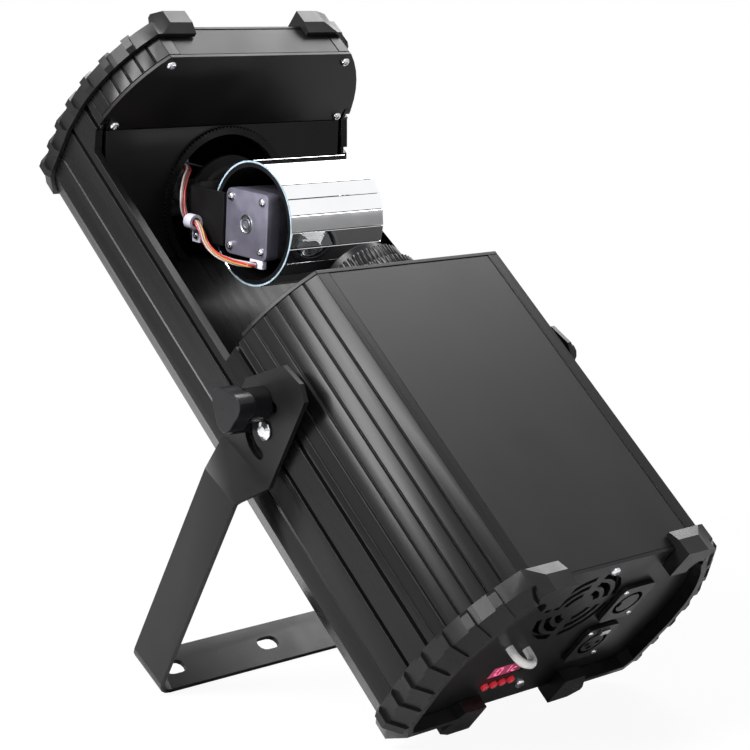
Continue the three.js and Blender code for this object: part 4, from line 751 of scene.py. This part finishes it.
bearing = bmesh.new()
bearing_spin = turned_shape(bearing, (
    (0.0, -0.2), (2.2, -0.2), (2.4, 0.4), (3.2, 0.4), (3.4, 0.1),
    (4.6, 0.1), (5.0, 0.5), (5.6, 0.5), (6.0, -0.2),
), 48)
moved(bearing, bearing_spin, Matrix.Translation((MOTOR_REAR, 0.0, 0.0)) @ TO_LEFT)
place("drum_motor_bearing", bearing, ON_DRUM, galvanised, "pan", (), 35.0)

motor_spots = [(MOTOR_REAR, sy * SCREW_OFF, sz * SCREW_OFF) for sy in (-1, 1) for sz in (-1, 1)]
screw_set("drum_motor_screws", ON_DRUM, motor_spots, TO_LEFT, "pan", 0.85)

plug = bmesh.new()
block_shape(plug, (MOTOR_REAR + 0.3, -24.6, 4.0), (MOTOR_REAR + 3.5, -19.0, 16.0), 0.5)
place("motor_plug", plug, ON_DRUM, clip_plastic, "pan")

# %% [markdown]
# ### Loom, clip and knobs
# The motor's wires run from its plug through a clip on the arm and down into the turning plate.
# Each wire is a thin curve that winds slowly round the loom's middle line.

# %% Wires of the loom
LOOM_ROUTE = [
    (-31.0, 24.0, -2.0), (-32.5, 23.5, 4.0), (-40.0, 18.0, 11.0), (-44.5, 8.0, 15.5), (-45.3, -1.0, 19.0),
    (-45.3, -4.5, 24.0), (-45.3, -4.5, 30.0), (-45.6, -8.5, 36.0), (-46.0, -15.0, 41.5), (-45.5, -20.0, 50.0),
    (-43.8, -22.5, 62.0), (-43.0, -22.5, 74.0), (-41.5, -22.3, 79.0), (-39.0, -22.3, 80.3),
]
WIRE_RADIUS = 0.62
WIRES = ["white", "red", "amber", "white", "red", "brown"]
BUNDLE = 1.25
WIND = 0.55


def wire_points(number):
    points = []
    route = [Vector(point) for point in LOOM_ROUTE]
    for index, point in enumerate(route):
        ahead = route[min(index + 1, len(route) - 1)] - route[max(index - 1, 0)]
        side = ahead.cross(Vector((1.0, 0.2, 0.1))).normalized()
        over = ahead.cross(side).normalized()
        angle = FULL_TURN * number / len(WIRES) + WIND * index
        points.append(point + BUNDLE * (math.cos(angle) * side + math.sin(angle) * over))
    return points


for number, colour in enumerate(WIRES):
    data = bpy.data.curves.new(f"loom_wire_{number + 1}", "CURVE")
    data.dimensions = "3D"
    data.bevel_depth = WIRE_RADIUS * MM
    data.bevel_resolution = 3
    data.resolution_u = 8
    spline = data.splines.new("BEZIER")
    path = wire_points(number)
    spline.bezier_points.add(len(path) - 1)
    for knot, point in zip(spline.bezier_points, path):
        knot.co = ON_PLATE @ (point * MM)
        knot.handle_left_type = knot.handle_right_type = "AUTO"
    data.materials.append(wire_finishes[colour])
    wire = bpy.data.objects.new(data.name, data)
    bpy.context.scene.collection.objects.link(wire)
    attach(wire, "pan")
    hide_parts("wire_loom")

# %% [markdown]
# The clip is a white moulding that one screw holds. Its solid has the right shape, so it only needs
# its finish, soft edges and the screw's head.

# %% Clip and its screw
dressed("cable_clip", clip_plastic, 0.25)
CLIP_PLACE = Vector((-45.3, -4.5, 27.0))
CLIP_TURN = Matrix.Rotation(math.radians(-90), 4, "X")
CLIP_SCREW_SPOT = Vector((3.0, 0.0, -8.6))
on_clip = Matrix.Translation(CLIP_PLACE) @ CLIP_TURN
clip_screw = on_clip @ Matrix.Translation(CLIP_SCREW_SPOT) @ TO_LEFT
one_screw = bmesh.new()
screw_head(one_screw, clip_screw, 0.75)
place("clip_screw", one_screw, ON_PLATE, bright_steel, "pan", (), 35.0)

# %% [markdown]
# The clamp knobs have three soft lobes. Their solid keeps its outline, and its rim is rounded.

# %% Knobs, studs and pivot screws
for side in ("left", "right"):
    dressed(f"clamp_knob_{side}", black_plastic, 0.8, sharp=30.0, segments=3)
    dressed(f"slot_stud_{side}", black_plastic, 0.5, sharp=30.0)
    dressed(f"pivot_screw_{side}", bright_steel, 0.3, sharp=30.0)

# %% [markdown]
# ### Floor, light and background
# The light stands on a pale floor in a white room. Camera, mirror and glass rays see the room as
# plain white. The floor is a painted plane, and a share of plain white is mixed in for the camera.
# That share grows with the distance, so the shadow near the light stays and the horizon goes.

# %% Floor
floor_mesh = bpy.data.meshes.new("floor")
floor_bm = bmesh.new()
bmesh.ops.create_grid(floor_bm, x_segments=1, y_segments=1, size=8.0)
floor_bm.to_mesh(floor_mesh)
floor_bm.free()
floor = bpy.data.objects.new("floor", floor_mesh)
bpy.context.scene.collection.objects.link(floor)

floor_material = new_finish("floor_paint", (0.85, 0.85, 0.85), 0.6)
tree = floor_material.node_tree
seen = tree.nodes.new("ShaderNodeLightPath")
glow = tree.nodes.new("ShaderNodeEmission")
blend = tree.nodes.new("ShaderNodeMixShader")
spot = tree.nodes.new("ShaderNodeTexCoord")
away = tree.nodes.new("ShaderNodeVectorMath")
away.operation = "LENGTH"
tree.links.new(spot.outputs["Object"], away.inputs[0])
fade = ranged(floor_material, away.outputs["Value"], 0.93, 1.0, 0.35, 1.2)
share = tree.nodes.new("ShaderNodeMath")
share.operation = "MULTIPLY"
tree.links.new(seen.outputs["Is Camera Ray"], share.inputs[0])
tree.links.new(fade, share.inputs[1])
tree.links.new(share.outputs[0], blend.inputs["Fac"])
tree.links.new(tree.nodes["Principled BSDF"].outputs[0], blend.inputs[1])
tree.links.new(glow.outputs[0], blend.inputs[2])
tree.links.new(blend.outputs[0], tree.nodes["Material Output"].inputs["Surface"])
floor_mesh.materials.append(floor_material)

# %% [markdown]
# The room is a plain white world. It is weak for the rays that light a surface by scattering, and
# full for the rays that see or mirror it, so black pieces stay black while screws and mirrors shine.

# %% World
ROOM_LIGHT = 0.1
world = bpy.data.worlds.new("studio")
world.use_nodes = True
bpy.context.scene.world = world
tree = world.node_tree
background = tree.nodes["Background"]
path = tree.nodes.new("ShaderNodeLightPath")
first = tree.nodes.new("ShaderNodeMath")
first.operation = "MAXIMUM"
second = tree.nodes.new("ShaderNodeMath")
second.operation = "MAXIMUM"
level = tree.nodes.new("ShaderNodeMapRange")
level.inputs["To Min"].default_value = ROOM_LIGHT
level.inputs["To Max"].default_value = 1.0
tree.links.new(path.outputs["Is Camera Ray"], first.inputs[0])
tree.links.new(path.outputs["Is Glossy Ray"], first.inputs[1])
tree.links.new(first.outputs[0], second.inputs[0])
tree.links.new(path.outputs["Is Transmission Ray"], second.inputs[1])
tree.links.new(second.outputs[0], level.inputs["Value"])
tree.links.new(level.outputs["Result"], background.inputs["Strength"])
background.inputs["Color"].default_value = (1.0, 1.0, 1.0, 1.0)

# %% [markdown]
# Black metal shows its shape by reflections, so the lamps stand where the surfaces mirror them toward
# the camera: the left one in the facets of the hood, the right one in the front sheet. A weak one in
# front fills the end plate. A narrow lamp keeps the bright bands on the facets apart.

# %% Lamps
MIDDLE = Vector((0.0, 0.0, 0.2))


def soft_lamp(name, spot, size, power):
    data = bpy.data.lights.new(name, "AREA")
    data.shape = "RECTANGLE"
    data.size, data.size_y = size
    data.energy = power
    lamp = bpy.data.objects.new(name, data)
    bpy.context.scene.collection.objects.link(lamp)
    spot = Vector(spot)
    aim = (MIDDLE - spot).to_track_quat("-Z", "Y").to_matrix().to_4x4()
    lamp.matrix_world = Matrix.Translation(spot) @ aim
    print(name, "gives", power, "W")


soft_lamp("left_softbox", (-1.24, 0.14, 1.1), (0.55, 1.0), 46.0)
soft_lamp("right_softbox", (0.95, 0.32, 1.35), (0.7, 0.8), 17.0)
soft_lamp("front_softbox", (-0.9, -1.6, 1.3), (0.8, 0.8), 8.0)
bpy.context.scene.view_settings.view_transform = "Standard"
